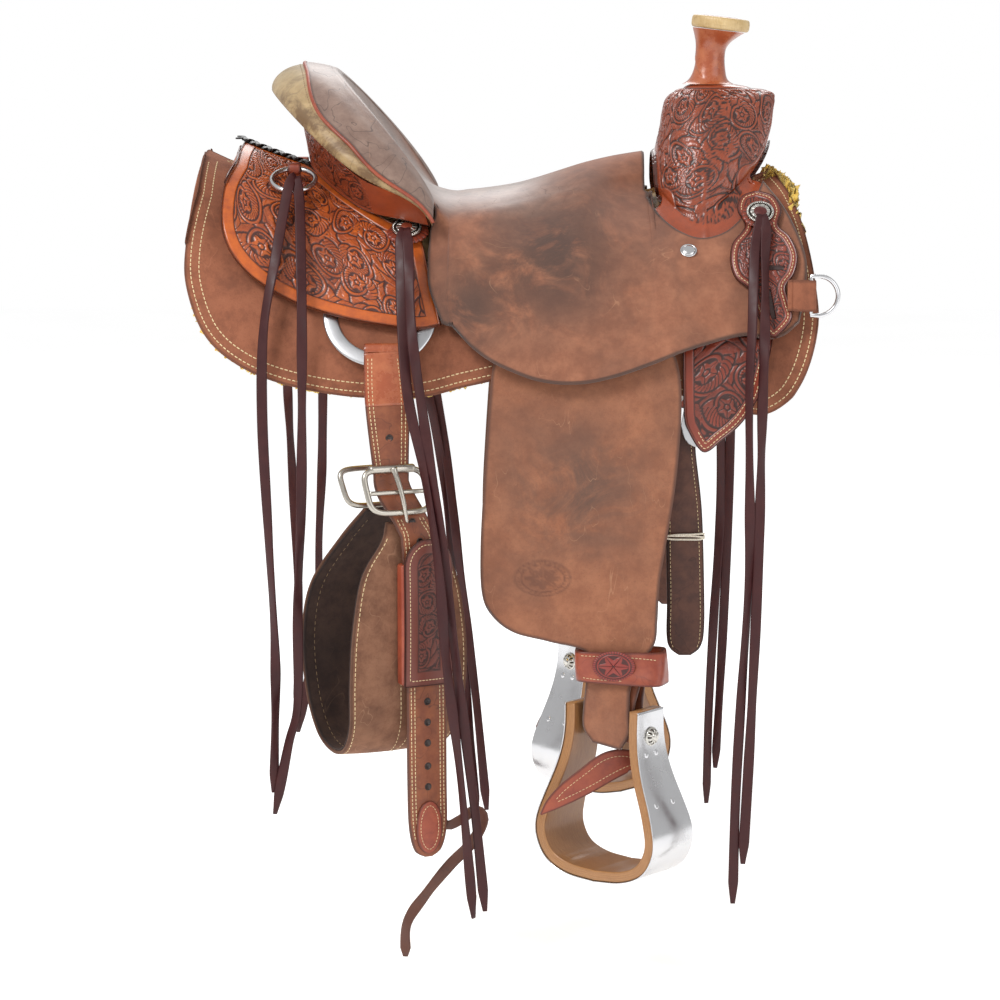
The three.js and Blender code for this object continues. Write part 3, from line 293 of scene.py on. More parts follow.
def thicken(points, faces, thickness, rim=1.2, height=None, attributes=None):
    """A closed sheet under points, with rounded edges. Returns its points, faces and attributes."""
    count = len(points)
    normals = vertex_normals(points, faces)
    border = open_edges(faces, count)
    out = np.zeros_like(points)
    step = np.cross(points[border[:, 1]] - points[border[:, 0]], normals[border[:, 0]])
    for k in (0, 1):
        np.add.at(out, border[:, k], unit(step))
    out = unit(out)
    on_edge = np.unique(border)
    top = points + (0 if height is None else normals * height[:, None])
    under = points - normals * thickness
    top[on_edge] -= out[on_edge] * rim
    under[on_edge] -= out[on_edge] * rim
    upper = points[on_edge] - normals[on_edge] * min(rim, thickness / 2)
    lower = points[on_edge] - normals[on_edge] * max(thickness - rim, thickness / 2)
    place = np.full(count, -1)
    place[on_edge] = np.arange(len(on_edge))
    a, b = border[:, 0], border[:, 1]
    a1, b1 = 2 * count + place[a], 2 * count + place[b]
    a2, b2 = a1 + len(on_edge), b1 + len(on_edge)
    strips = [
        np.stack([b, a, a1, b1], axis=1),
        np.stack([b1, a1, a2, b2], axis=1),
        np.stack([b2, a2, a + count, b + count], axis=1),
    ]
    whole = np.concatenate([top, under, upper, lower])
    distance = border_distance(points, points[on_edge])
    made = {
        "border": np.concatenate([distance, distance, np.zeros(2 * len(on_edge))]),
        "back": np.concatenate([np.zeros(count), np.ones(count + 2 * len(on_edge))]),
    }
    for key, values in (attributes or {}).items():
        made[key] = np.concatenate([values, values, values[on_edge], values[on_edge]])
    quads = np.concatenate(strips)
    return whole, [faces, faces[:, ::-1] + count, quads], made


def border_distance(points, rim):
    tree = KDTree(len(rim))
    for i, point in enumerate(rim):
        tree.insert(point, i)
    tree.balance()
    return np.array([tree.find(point)[2] for point in points])


def used_only(points, faces, *others):
    """Drops the points that no face uses."""
    used, flat_index = np.unique(faces, return_inverse=True)
    return points[used], flat_index.reshape(faces.shape), *(other[used] for other in others)


class Sheet:
    """A leather sheet: its grid of outer points, before it is made solid."""

    def __init__(self, grid, present=None, middle=(0, 0, -260)):
        self.grid = grid
        points = grid.reshape(-1, 3)
        faces = cells(grid.shape[0], grid.shape[1], present)
        faces = outward_faces(points, faces, middle)
        index = np.arange(len(points))
        self.points, self.faces, self.index = used_only(points, faces, index)
        self.normals = vertex_normals(self.points, self.faces)
        on_edge = self.border_points()
        self.distance = border_distance(self.points, self.points[on_edge])

    @classmethod
    def made_of(cls, points, faces):
        """A sheet from points and faces that already look the right way."""
        sheet = cls.__new__(cls)
        sheet.points, sheet.faces = points, faces
        sheet.index = np.arange(len(points))
        sheet.normals = vertex_normals(points, faces)
        sheet.distance = border_distance(points, points[sheet.border_points()])
        return sheet

    def border_points(self):
        return np.unique(open_edges(self.faces, len(self.points)))

    def solid(self, name, material, thickness, height=None, attributes=None, rim=1.2):
        points, faces, made = thicken(self.points, self.faces, thickness, rim, height, attributes)
        return make_mesh(name, points, faces, material, made)

    def tree(self):
        return tree_of(self.points, [self.faces])


def tree_of(points, faces):
    """A search tree of a skin, given as points and a list of face arrays."""
    return BVHTree.FromPolygons([Vector(q) for q in points], [f for g in faces for f in g.tolist()])


def onto(tree, path):
    """A path moved onto a sheet, and the sheet's normals along it."""
    points, normals = [], []
    for point in path:
        where, normal, _, _ = tree.find_nearest(Vector(point))
        points.append(where)
        normals.append(normal)
    return np.array(points), unit(np.array(normals))


def loft_mesh(rings, closed=False):
    """Points and faces of a skin over rings of points (n rings of m points)."""
    n, m = rings.shape[:2]
    points = rings.reshape(-1, 3)
    i, j = np.meshgrid(np.arange(n if closed else n - 1), np.arange(m), indexing="ij")
    k = (i + 1) % n
    l = (j + 1) % m
    quads = np.stack([i * m + j, k * m + j, k * m + l, i * m + l], axis=-1).reshape(-1, 4)
    faces = [quads]
    if not closed:
        extra = np.stack([rings[0].mean(0), rings[-1].mean(0)])
        points = np.concatenate([points, extra])
        j = np.arange(m)
        l = (j + 1) % m
        first = np.stack([np.full(m, n * m), j, l], axis=1)
        last = np.stack([np.full(m, n * m + 1), (n - 1) * m + l, (n - 1) * m + j], axis=1)
        faces.append(np.concatenate([first, last]))
    return points, faces


def oriented(points, faces):
    """Turns a closed skin's faces so that they look outward."""
    total = 0.0
    for group in faces:
        p = points[group]
        for k in range(1, group.shape[1] - 1):
            total += (p[:, 0] * np.cross(p[:, k], p[:, k + 1])).sum()
    return faces if total > 0 else [group[:, ::-1] for group in faces]


def loft(name, rings, material, closed=False, attributes=None):
    rings = np.asarray(rings, float)
    points, faces = loft_mesh(rings, closed)
    made = None
    if attributes:
        pad = len(points) - rings.shape[0] * rings.shape[1]
        made = {k: np.concatenate([v.ravel(), np.full(pad, v.mean())]) for k, v in attributes.items()}
    return make_mesh(name, points, oriented(points, faces), material, made)


def merged(parts):
    """Several (points, faces) skins as one."""
    points, faces, start = [], {}, 0
    for part, groups in parts:
        points.append(part)
        for group in groups:
            faces.setdefault(group.shape[1], []).append(group + start)
        start += len(part)
    return np.concatenate(points), [np.concatenate(v) for v in faces.values()]


# ---------- node materials ----------
def srgb(red, green, blue):
    c = np.array([red, green, blue]) / 255
    linear = np.where(c <= 0.04045, c / 12.92, ((c + 0.055) / 1.055) ** 2.4)
    return (*linear, 1)


class Nodes:
    """A short way to write a material's node tree."""

    def __init__(self, name):
        self.material = bpy.data.materials.new(name)
        self.material.use_nodes = True
        self.tree = self.material.node_tree
        self.shader = self.tree.nodes["Principled BSDF"]
        self.place = self.tree.nodes.new("ShaderNodeTexCoord").outputs["Object"]

    def link(self, value, socket):
        if isinstance(value, bpy.types.NodeSocket):
            self.tree.links.new(value, socket)
        else:
            socket.default_value = value

    def set(self, name, value):
        self.link(value, self.shader.inputs[name])

    def node(self, kind, inputs, output=0, **settings):
        """A new node with its settings and inputs filled in; returns one of its outputs."""
        made = self.tree.nodes.new("ShaderNode" + kind)
        for key, value in settings.items():
            setattr(made, key, value)
        for key, value in inputs.items():
            self.link(value, made.inputs[key])
        return made.outputs[output]

    def stretched(self, x, y, z):
        return self.node("Mapping", {"Scale": (x, y, z), "Vector": self.place})

    def noise(self, scale, detail=4, rough=0.55, warp=0, where=None):
        inputs = {"Scale": scale, "Detail": detail, "Roughness": rough, "Distortion": warp}
        return self.node("TexNoise", {**inputs, "Vector": where or self.place}, "Fac")

    def cracks(self, scale):
        inputs = {"Scale": scale, "Vector": self.place}
        return self.node("TexVoronoi", inputs, "Distance", feature="DISTANCE_TO_EDGE")

    def attribute(self, name):
        return self.node("Attribute", {}, "Fac", attribute_name=name)

    def curve(self, value, low, high, to_low=0, to_high=1):
        inputs = {"Value": value, "From Min": low, "From Max": high, "To Min": to_low, "To Max": to_high}
        return self.node("MapRange", inputs, "Result", interpolation_type="SMOOTHSTEP")

    def math(self, kind, a, b=0.0):
        return self.node("Math", {0: a, 1: b}, operation=kind)

    def mix(self, factor, a, b):
        return self.node("Mix", {0: factor, 6: a, 7: b}, 2, data_type="RGBA")

    def over(self, colour, other, mask, amount):
        """A colour with another one laid over it, as far as a mask times an amount says."""
        return self.mix(self.math("MULTIPLY", mask, amount), colour, other)

    def bump(self, height, strength, distance, before=None):
        inputs = {"Strength": strength, "Distance": distance * MM, "Height": height}
        if before is not None:
            inputs["Normal"] = before
        return self.node("Bump", inputs)


def streaks(m, scale, width, **more):
    """Thin wandering lines: 1 on a line, 0 off it."""
    off = m.math("ABSOLUTE", m.math("SUBTRACT", m.noise(scale, 2, 0.5, 0.6, **more), 0.5))
    return m.curve(off, 0, width, 1, 0)


def rough_leather(name, base, dark, light, stain):
    """Rough-out leather: a short nap, dark stains, pale scratches and darker burnished edges."""
    m = Nodes(name)
    blotch = m.curve(m.noise(7, 5, 0.6, 0.4), 0.45, 0.72)
    mottle = m.noise(42, 6, 0.7)
    speck = m.noise(520, 3, 0.7)
    colour = m.mix(m.curve(mottle, 0.3, 0.75), base, light)
    colour = m.mix(0.55, colour, m.mix(m.curve(mottle, 0.25, 0.6), dark, base))
    colour = m.over(colour, dark, blotch, stain)
    scratch = m.math("MULTIPLY", streaks(m, 16, 0.006), m.curve(m.noise(23), 0.45, 0.65))
    colour = m.over(colour, light, scratch, 0.6)
    colour = m.over(colour, dark, m.curve(speck, 0.5, 0.8), 0.35)
    edge = m.curve(m.attribute("border"), 1.2, 4, 0.75, 0)
    colour = m.mix(edge, colour, dark)
    m.set("Base Color", colour)
    m.set("Roughness", 0.88)
    m.set("Sheen Weight", 0.25)
    m.set("Sheen Roughness", 0.6)
    m.set("Sheen Tint", light)
    low = m.bump(mottle, 0.35, 1.2)
    m.set("Normal", m.bump(speck, 0.35, 0.5, low))
    return m.material


def smooth_leather(name, base, dark, light, rough=0.45, coat=0.1, crack=0.0, stain=0.4, shine=0.5):
    """Grain-side leather with worn patches, fine grain and optional cracks."""
    m = Nodes(name)
    blotch = m.curve(m.noise(9, 5, 0.6, 0.3), 0.4, 0.75)
    mottle = m.noise(60, 6, 0.65)
    grain = m.cracks(700)
    colour = m.mix(m.curve(mottle, 0.3, 0.75), base, light)
    colour = m.over(colour, dark, blotch, stain)
    lines = streaks(m, 26, 0.008)
    if crack:
        colour = m.over(colour, dark, lines, crack)
    edge = m.curve(m.attribute("border"), 0.8, 3, 0.8, 0)
    colour = m.mix(edge, colour, dark)
    m.set("Base Color", colour)
    m.set("Roughness", m.curve(mottle, 0.2, 0.8, rough - 0.08, rough + 0.14))
    m.set("Specular IOR Level", shine)
    m.set("Coat Weight", coat)
    m.set("Coat Roughness", 0.25)
    fine = m.bump(grain, 0.12, 0.3)
    m.set("Normal", m.bump(mottle, 0.25, 0.8, fine))
    return m.material


def tooled_leather(name, high, low, border, rough=0.38, coat=0.25):
    """Carved leather: pale on the raised petals, dark in the cuts, with a plain polished border."""
    m = Nodes(name)
    tool = m.attribute("tool")
    mottle = m.noise(70, 5, 0.65)
    wear = m.noise(14, 4, 0.6)
    raised = m.mix(m.curve(mottle, 0.25, 0.8), high, border)
    raised = m.over(raised, low, m.curve(wear, 0.5, 0.7), 0.35)
    colour = m.mix(m.curve(tool, 0.05, 0.8), low, raised)
    colour = m.mix(m.attribute("plain"), colour, m.mix(m.curve(mottle, 0.3, 0.9), border, high))
    cut = m.math("MULTIPLY", m.attribute("plain"), m.curve(tool, 0.2, 0.9, 0.8, 0))
    colour = m.mix(cut, colour, low)
    edge = m.curve(m.attribute("border"), 0.8, 2.6, 0.85, 0)
    colour = m.mix(edge, colour, low)
    m.set("Base Color", colour)
    m.set("Roughness", m.curve(tool, 0, 1, rough + 0.2, rough))
    m.set("Coat Weight", coat)
    m.set("Coat Roughness", 0.2)
    fine = m.bump(m.cracks(900), 0.1, 0.25)
    m.set("Normal", m.bump(mottle, 0.2, 0.6, fine))
    return m.material


def make_rawhide(name):
    """Rawhide paler towards the top, above a set height, and stained brown and olive lower down."""
    m = Nodes(name)
    stains = m.noise(15, 6, 0.68, 0.6)
    fibre = m.noise(30, 6, 0.65, 0.6)
    colour = m.mix(m.curve(fibre, 0.3, 0.75), srgb(146, 118, 78), srgb(184, 156, 112))
    colour = m.mix(m.curve(stains, 0.4, 0.58), colour, srgb(104, 76, 46))
    colour = m.over(colour, srgb(84, 60, 36), streaks(m, 21, 0.01), 0.5)
    high = m.curve(m.node("SeparateXYZ", {0: m.place}, 2), 0.13, 0.22)
    colour = m.over(colour, srgb(196, 180, 148), high, 0.5)
    m.set("Base Color", colour)
    m.set("Roughness", m.curve(stains, 0.3, 0.7, 0.36, 0.6))
    m.set("Subsurface Weight", 0.05)
    m.set("Subsurface Radius", (0.004, 0.002, 0.001))
    m.set("Normal", m.bump(m.noise(140, 5, 0.7), 0.3, 0.8))
    return m.material


def metal(name, base, rough, scratch=0.08, grime=0.3):
    """Worn metal: faint fine scratches, with grime in patches."""
    m = Nodes(name)
    cloud = m.noise(35, 5, 0.6)
    fine = m.noise(900, 2, 0.5, 0, m.stretched(1, 1, 0.08))
    dirt = m.math("MULTIPLY", m.curve(cloud, 0.5, 0.8), grime)
    m.set("Base Color", m.mix(dirt, base, srgb(92, 84, 74)))
    m.set("Metallic", 1.0)
    m.set("Roughness", m.curve(cloud, 0.3, 0.8, rough, rough + 0.16))
    m.set("Normal", m.bump(fine, scratch, 0.2))
    return m.material


def engraved_metal(name):
    m = Nodes(name)
    tool = m.attribute("tool")
    m.set("Base Color", m.mix(m.curve(tool, 0.1, 0.6), srgb(60, 54, 48), srgb(206, 203, 196)))
    m.set("Metallic", 1.0)
    m.set("Roughness", m.curve(tool, 0, 1, 0.6, 0.25))
    m.set("Normal", m.bump(m.noise(500, 3), 0.1, 0.2))
    return m.material


def make_oak(name):
    """Bent laminated oak: grain along each ply and thin glue lines between them."""
    m = Nodes(name)
    depth = m.attribute("ply")
    along = m.attribute("along")
    scales = ((along, 0.012), (m.attribute("across"), 0.35), (depth, 0.9))
    along_ply = m.node("CombineXYZ", {k: m.math("MULTIPLY", a, by) for k, (a, by) in enumerate(scales)})
    grain = m.noise(5, 6, 0.7, 0.5, along_ply)
    pores = m.noise(60, 3, 0.7, 0, along_ply)
    wave = m.math("ABSOLUTE", m.math("SUBTRACT", m.math("FRACT", m.math("MULTIPLY", depth, 0.42)), 0.5))
    glue = m.curve(wave, 0.42, 0.5)
    colour = m.mix(m.curve(grain, 0.3, 0.7), srgb(182, 132, 82), srgb(140, 94, 54))
    colour = m.over(colour, srgb(120, 76, 40), m.curve(pores, 0.55, 0.75), 0.5)
    colour = m.over(colour, srgb(104, 64, 34), glue, 0.7)
    m.set("Base Color", colour)
    m.set("Roughness", 0.42)
    m.set("Coat Weight", 0.25)
    m.set("Coat Roughness", 0.15)
    m.set("Normal", m.bump(grain, 0.2, 0.4))
    return m.material


def make_fleece(name):
    m = Nodes(name)
    curl = m.noise(170, 4, 0.7, 0.8)
    colour = m.mix(m.curve(curl, 0.3, 0.7), srgb(226, 178, 62), srgb(248, 216, 122))
    colour = m.mix(m.curve(m.noise(12, 4), 0.5, 0.8), colour, srgb(214, 166, 66))
    m.set("Base Color", colour)
    m.set("Roughness", 0.95)
    m.set("Sheen Weight", 0.6)
    m.set("Sheen Roughness", 0.5)
    m.set("Sheen Tint", srgb(255, 236, 170))
    m.set("Normal", m.bump(curl, 0.5, 1.5))
    return m.material


def plain_thread(name, colour):
    m = Nodes(name)
    twist = m.noise(1500, 2, 0.5)
    m.set("Base Color", m.mix(m.curve(twist, 0.35, 0.9), colour, srgb(150, 116, 82)))
    m.set("Roughness", 0.7)
    m.set("Normal", m.bump(twist, 0.5, 0.3))
    return m.material


BROWN_DARK = srgb(74, 44, 33)
LEATHERS = {
    "skirt": rough_leather("skirt", srgb(140, 82, 56), srgb(98, 58, 42), srgb(164, 104, 76), 0.35),
    "cinch": rough_leather("cinch", srgb(120, 78, 56), srgb(74, 46, 34), srgb(156, 116, 90), 0.7),
    "lining": rough_leather("lining", srgb(64, 44, 38), srgb(40, 28, 26), srgb(96, 74, 62), 0.6),
    "tooled": tooled_leather("tooled", srgb(150, 66, 34), srgb(70, 30, 20), srgb(196, 96, 32), 0.34),
    "swell": tooled_leather("swell", srgb(128, 58, 34), srgb(52, 24, 17), srgb(156, 70, 38), 0.27, 0.4),
    "panel": tooled_leather("panel", srgb(126, 50, 32), srgb(54, 24, 18), srgb(132, 54, 34), 0.35, 0.25),
    "dark_panel": tooled_leather(
        "dark_panel", srgb(112, 54, 40), srgb(54, 30, 26), srgb(108, 50, 38), 0.42, 0.15,
    ),
    "red_panel": tooled_leather(
        "red_panel", srgb(140, 46, 38), srgb(70, 28, 24), srgb(132, 50, 38), 0.4, 0.2,
    ),
    "orange": smooth_leather(
        "orange", srgb(160, 78, 46), srgb(106, 46, 28), srgb(186, 108, 68), 0.26, 0.4, 0.3,
    ),
    "strap": smooth_leather("strap", srgb(122, 64, 40), srgb(70, 38, 27), srgb(150, 86, 54), 0.5, 0.1, 0.5),
    "red_strap": smooth_leather(
        "red_strap", srgb(138, 58, 38), srgb(84, 34, 24), srgb(164, 80, 52), 0.42, 0.15, 0.3,
    ),
    "dark": smooth_leather(
        "dark", srgb(76, 48, 40), srgb(44, 28, 25), srgb(104, 70, 58), 0.5, 0, 0.4, 0.4, 0.3,
    ),
    "lace": smooth_leather(
        "lace", srgb(84, 34, 34), srgb(50, 22, 24), srgb(112, 54, 48), 0.44, 0, 0.2, 0.4, 0.3,
    ),
    "black_lace": smooth_leather(
        "black_lace", srgb(38, 28, 26), srgb(18, 14, 14), srgb(64, 48, 42), 0.45, 0.2,
    ),
}
RAWHIDE = make_rawhide("rawhide")
FLEECE = make_fleece("fleece")
OAK = make_oak("oak")
STEEL = metal("steel", srgb(212, 212, 214), 0.16, 0.05, 0.15)
BRUSHED = metal("brushed", srgb(196, 196, 198), 0.28, 0.2, 0.25)
NICKEL = metal("nickel", srgb(186, 180, 170), 0.25, 0.1, 0.45)
BRASS = metal("brass", srgb(190, 150, 90), 0.3, 0.1, 0.3)
SILVER = engraved_metal("silver")
THREAD = plain_thread("thread", srgb(238, 216, 168))
WHITE_CORD = plain_thread("white_cord", srgb(236, 230, 214))
LACE_THREAD = plain_thread("lace_thread", srgb(140, 116, 88))
HORN_RAWHIDE = smooth_leather(
    "horn_rawhide", srgb(190, 160, 108), srgb(140, 104, 62), srgb(214, 188, 140), 0.4, 0.2, 0.3, 0.3
)


def seat_leather_material():
    """One hide: polished and grey where the rider sits, rough and brown on the jockeys."""
    m = Nodes("seat_leather")
    bowl = m.attribute("bowl")
    blotch = m.curve(m.noise(8, 5, 0.6, 0.5), 0.42, 0.7)
    mottle = m.noise(46, 6, 0.7)
    speck = m.noise(560, 3, 0.7)
    nap = m.mix(m.curve(mottle, 0.3, 0.75), srgb(136, 82, 56), srgb(164, 106, 76))
    nap = m.over(nap, srgb(92, 58, 44), blotch, 0.55)
    stain = m.math("MULTIPLY", m.attribute("stain"), m.curve(m.noise(15, 6, 0.7, 0.8), 0.28, 0.56))
    nap = m.over(nap, srgb(62, 44, 37), stain, 0.9)
    worn = m.mix(m.curve(mottle, 0.3, 0.75), srgb(118, 92, 80), srgb(150, 124, 110))
    worn = m.over(worn, srgb(98, 74, 64), blotch, 0.4)
    lines = m.math("MULTIPLY", streaks(m, 24, 0.01), 0.7)
    worn = m.mix(lines, worn, srgb(62, 46, 40))
    colour = m.mix(bowl, nap, worn)
    pale = m.math("MULTIPLY", streaks(m, 17, 0.005), m.curve(m.noise(20), 0.5, 0.64))
    colour = m.over(colour, srgb(190, 142, 106), pale, 0.3)
    colour = m.mix(m.curve(m.attribute("border"), 1.4, 5, 0.8, 0), colour, srgb(58, 42, 36))
    m.set("Base Color", colour)
    m.set("Roughness", m.curve(bowl, 0, 1, 0.82, 0.36))
    m.set("Sheen Weight", 0.15)
    m.set("Sheen Roughness", 0.6)
    low = m.bump(mottle, 0.3, 1.0)
    fine = m.bump(speck, 0.25, 0.4, low)
    m.set("Normal", m.bump(streaks(m, 24, 0.01), 0.15, -0.6, fine))
    return m.material


SEAT_LEATHER = seat_leather_material()


# ---------- tooling ----------
def hashed(count, seed):
    return np.random.default_rng(seed).random((count, 3))


def floral(u, v, spacing, seed):
    """Carved flowers with stems and swirling leaves. Returns a height from 0, in a cut, to 1."""
    cut = 1.1
    low_u, low_v = u.min() - spacing, v.min() - spacing
    columns = int((u.max() - low_u) / spacing) + 3
    rows = int((v.max() - low_v) / (spacing * 0.87)) + 3
    jitter = hashed(rows * columns, seed)
    i, j = np.meshgrid(np.arange(rows), np.arange(columns), indexing="ij")
    i, j = i.ravel(), j.ravel()
    cu = low_u + (j + 0.5 * (i % 2)) * spacing + (jitter[:, 0] - 0.5) * spacing * 0.4
    cv = low_v + i * spacing * 0.87 + (jitter[:, 1] - 0.5) * spacing * 0.4
    turn = jitter[:, 2] * 2 * np.pi
    bend = 0.13 * spacing
    u, v = u + bend * np.sin(v / spacing * 3.3 + seed), v + bend * np.sin(u / spacing * 2.9 + 2 * seed)
    best = np.full(u.shape, np.inf)
    second = np.full(u.shape, np.inf)
    which = np.zeros(u.shape, int)
    for k in range(len(cu)):
        d = (u - cu[k]) ** 2 + (v - cv[k]) ** 2
        nearer = d < best
        second = np.where(nearer, best, np.minimum(second, d))
        best = np.where(nearer, d, best)
        which = np.where(nearer, k, which)
    r = np.sqrt(best) * 46 / spacing
    gap = (np.sqrt(second) - np.sqrt(best)) * 46 / spacing
    angle = np.arctan2(v - cv[which], u - cu[which])
    spin = np.where(which % 2 == 0, 1, -1)
    lobes = angle * 5 + turn[which] + 0.05 * r * spin
    edge = 9.2 + 1.6 * np.cos(lobes)
    petal = smooth((edge - r) / cut)
    crease = smooth((np.abs(np.sin(lobes / 2)) * r - 0.5) / cut)
    cup = 0.65 + 0.35 * smooth((edge - r) / 4)
    flower = petal * crease * cup * smooth((r - 3.2) / cut)
    flower = np.maximum(flower, smooth((2.6 - r) / cut))
    share = (angle * spin / (2 * np.pi) + jitter[which, 0]) % 1
    scroll = 10.6 + 16 * share
    stem = smooth((r - scroll + 1.6) / cut) * smooth((scroll + 1.8 - r) / cut)
    hair = smooth((np.abs(np.sin(angle * 11 + r * 0.7 * spin)) - 0.25) / 0.3)
    tendril = 0.85 * hair * smooth((r - 10.6) / cut) * smooth((scroll - 2.6 - r) / cut)
    swirl = angle * 6 * spin + (r - 15) * 0.36 + turn[which]
    wave = np.cos(swirl)
    side = np.sin(swirl)
    leaf = smooth((wave + 0.93) / 0.13) * smooth((r - scroll - 2.6) / cut)
    vein = ridge(wave, 1, 0.012) * smooth((r - 17) / 2)
    ribs = smooth((np.cos(r * 1.5 + np.abs(side) * 3.4) - 0.55) / 0.4) * smooth(np.abs(side) * 2 - 0.3)
    roll = 0.62 + 0.38 * smooth((side * spin + 0.9) / 1.5)
    leaf = leaf * roll * (1 - 0.55 * vein) * (1 - 0.3 * ribs)
    leaf *= smooth((gap - 0.25) / 0.9)
    return np.clip(np.maximum.reduce([flower, stem, tendril, leaf]), 0, 1)


def chart(grid):
    """Flat distances across and along a grid, in millimetres."""
    along = np.linalg.norm(np.diff(grid, axis=0), axis=2).mean(axis=1)
    across = np.linalg.norm(np.diff(grid, axis=1), axis=2)
    u = np.concatenate([[0], np.cumsum(along)])[:, None] + np.zeros(grid.shape[:2])
    v = np.concatenate([np.zeros((grid.shape[0], 1)), np.cumsum(across, axis=1)], axis=1)
    return u, v


def tooling(sheet, spacing, seed, band, depth=1.1, chart_of=None):
    """Height and attributes of a carved sheet with a plain border band wide."""
    u, v = chart(chart_of if chart_of is not None else sheet.grid)
    pattern = floral(u.ravel()[sheet.index], v.ravel()[sheet.index], spacing, seed)
    inside = smooth((sheet.distance - band) / 1.0)
    bead = ridge(sheet.distance, band, 0.8)
    bead = bead + 0.7 * ridge(sheet.distance, 2.6, 0.6)
    tool = np.where(inside > 0, pattern * inside, 1) * (1 - 0.9 * np.clip(bead, 0, 1))
    tool = np.where(sheet.distance < band, 1 - 0.9 * np.clip(bead, 0, 1), tool)
    plain = smooth((band - sheet.distance) / 1.0)
    return depth * (tool - 1), {"tool": tool, "plain": plain}


# ---------- stitches ----------
def stitch_skins(path, normals, length, wide):
    """Little half-round stitches laid along a path."""
    high = STITCH_HIGH
    rings = []
    count = max(1, int(len(path)))
    tangents = unit(np.gradient(path, axis=0))
    for k in range(count):
        t, n = tangents[k], normals[k]
        s = np.cross(n, t)
        for a, size in ((-0.5, 0.25), (-0.36, 0.85), (0.36, 0.85), (0.5, 0.25)):
            centre = path[k] + t * a * length
            for angle in (-0.25, 0.9, np.pi - 0.9, np.pi + 0.25):
                rings.append(centre + s * np.cos(angle) * wide / 2 * size + n * np.sin(angle) * high * size)
    points = np.array(rings).reshape(count, 4, 4, 3)
    base = np.arange(count)[:, None] * 16
    quads = []
    for ring in range(3):
        for j in range(4):
            a, b = ring * 4 + j, ring * 4 + (j + 1) % 4
            quads.append(np.stack([a, b, b + 4, a + 4]))
    quads.append(np.array([3, 2, 1, 0]))
    quads.append(np.array([12, 13, 14, 15]))
    faces = (base[:, :, None] + np.array(quads)[None]).reshape(-1, 4)
    return points.reshape(-1, 3), [faces]


def spaced(path, pitch):
    along = np.concatenate([[0], np.cumsum(np.linalg.norm(np.diff(path, axis=0), axis=1))])
    count = max(2, int(along[-1] / pitch))
    at = (np.arange(count) + 0.5) * along[-1] / count
    return np.stack([np.interp(at, along, path[:, k]) for k in range(3)], axis=1)


def sew(name, tree, paths, body, pitch=5.4, length=3.6, wide=1.0, material=None):
    """A row of stitches on a sheet for each path, as one piece riding on body."""
    skins = []
    for path in paths:
        points, normals = onto(tree, spaced(np.asarray(path, float), pitch))
        skins.append(stitch_skins(points, normals, length, wide))
    points, faces = merged(skins)
    piece = make_mesh(name, points, faces, material or THREAD)
    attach(piece, body)
    return piece


def level_lines(sheet, level):
    """Lines across a sheet at one distance from its edge, each in order."""
    above = sheet.distance >= level
    mixed = above[sheet.faces].any(axis=1) & ~above[sheet.faces].all(axis=1)
    where, links = {}, {}
    for a, b, c, d in sheet.faces[mixed].tolist():
        for corners in ((a, b, c), (a, c, d)):
            cut = []
            for p, q in zip(corners, corners[1:] + corners[:1]):
                if above[p] != above[q]:
                    key = (min(p, q), max(p, q))
                    t = (level - sheet.distance[p]) / (sheet.distance[q] - sheet.distance[p])
                    where[key] = lerp(sheet.points[p], sheet.points[q], t)
                    cut.append(key)
            if len(cut) == 2:
                links.setdefault(cut[0], []).append(cut[1])
                links.setdefault(cut[1], []).append(cut[0])
    lines = []
    left = dict.fromkeys(sorted(links, key=lambda k: (len(links[k]), k)))
    while left:
        here = next(iter(left))
        line = []
        while here is not None:
            left.pop(here)
            line.append(where[here])
            here = next((k for k in links[here] if k in left), None)
        lines.append(np.array(line))
    return lines


def contour(sheet, distance, keep=None):
    """Smoothed lines at a distance from a sheet's edge, only where keep is true."""
    runs = []
    for line in level_lines(sheet, distance):
        wanted = np.ones(len(line), bool) if keep is None else keep(line)
        ends = np.flatnonzero(np.diff(np.concatenate([[0], wanted.astype(int), [0]])))
        for a, b in zip(ends[::2], ends[1::2]):
            run = line[a:b]
            if b - a > SHORTEST_RUN:
                kernel = np.ones(7) / 7
                middle = np.stack([np.convolve(run[:, k], kernel, "valid") for k in range(3)], axis=1)
                runs.append(np.concatenate([run[:1], middle, run[-1:]]))
    return runs


def stands_for(node):
    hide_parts(node)


def finish_piece(piece, body, slot=None, *nodes):
    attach(piece, body)
    if nodes:
        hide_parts(*nodes)
    return piece


# ---------- hanging laces ----------
LACE_WIDE = 12
LACE_THICK = 2.8
FRONT_STRINGS = [
    [264, 251, -738], [266, 251, -620], [271, 251, -506], [279, 251, -346], [277, 251, -165], [281, 234, -80],
    [285, 199, -9], [290, 183, 20], [295, 174, 37], [299, 183, 20], [297, 199, -9],
    [295, 234, -80], [292, 251, -165], [289, 251, -346],
    [283, 251, -520], [275, 251, -692],
]
MID_STRINGS = [
    [-17, 251, -747], [-27, 262, -640], [-34, 274, -578], [-51, 280, -439], [-67, 278, -302],
    [-84, 264, -189],
    [-98, 247, -88], [-103, 196, 0], [-107, 176, 22], [-112, 196, -6], [-104, 256, -144], [-84, 268, -245],
    [-68, 286, -348], [-60, 288, -451], [-44, 276, -590], [-30, 251, -755],
]
REAR_STRINGS = [
    [-257, 226, -615], [-254, 226, -464], [-260, 228, -326], [-266, 228, -190], [-264, 224, -89],
    [-252, 196, -11], [-240, 140, 66], [-232, 128, 78], [-227, 150, 50], [-223, 200, -20], [-221, 226, -89],
    [-223, 229, -281], [-228, 228, -395], [-229, 227, -510], [-240, 226, -560], [-256, 226, -640],
]
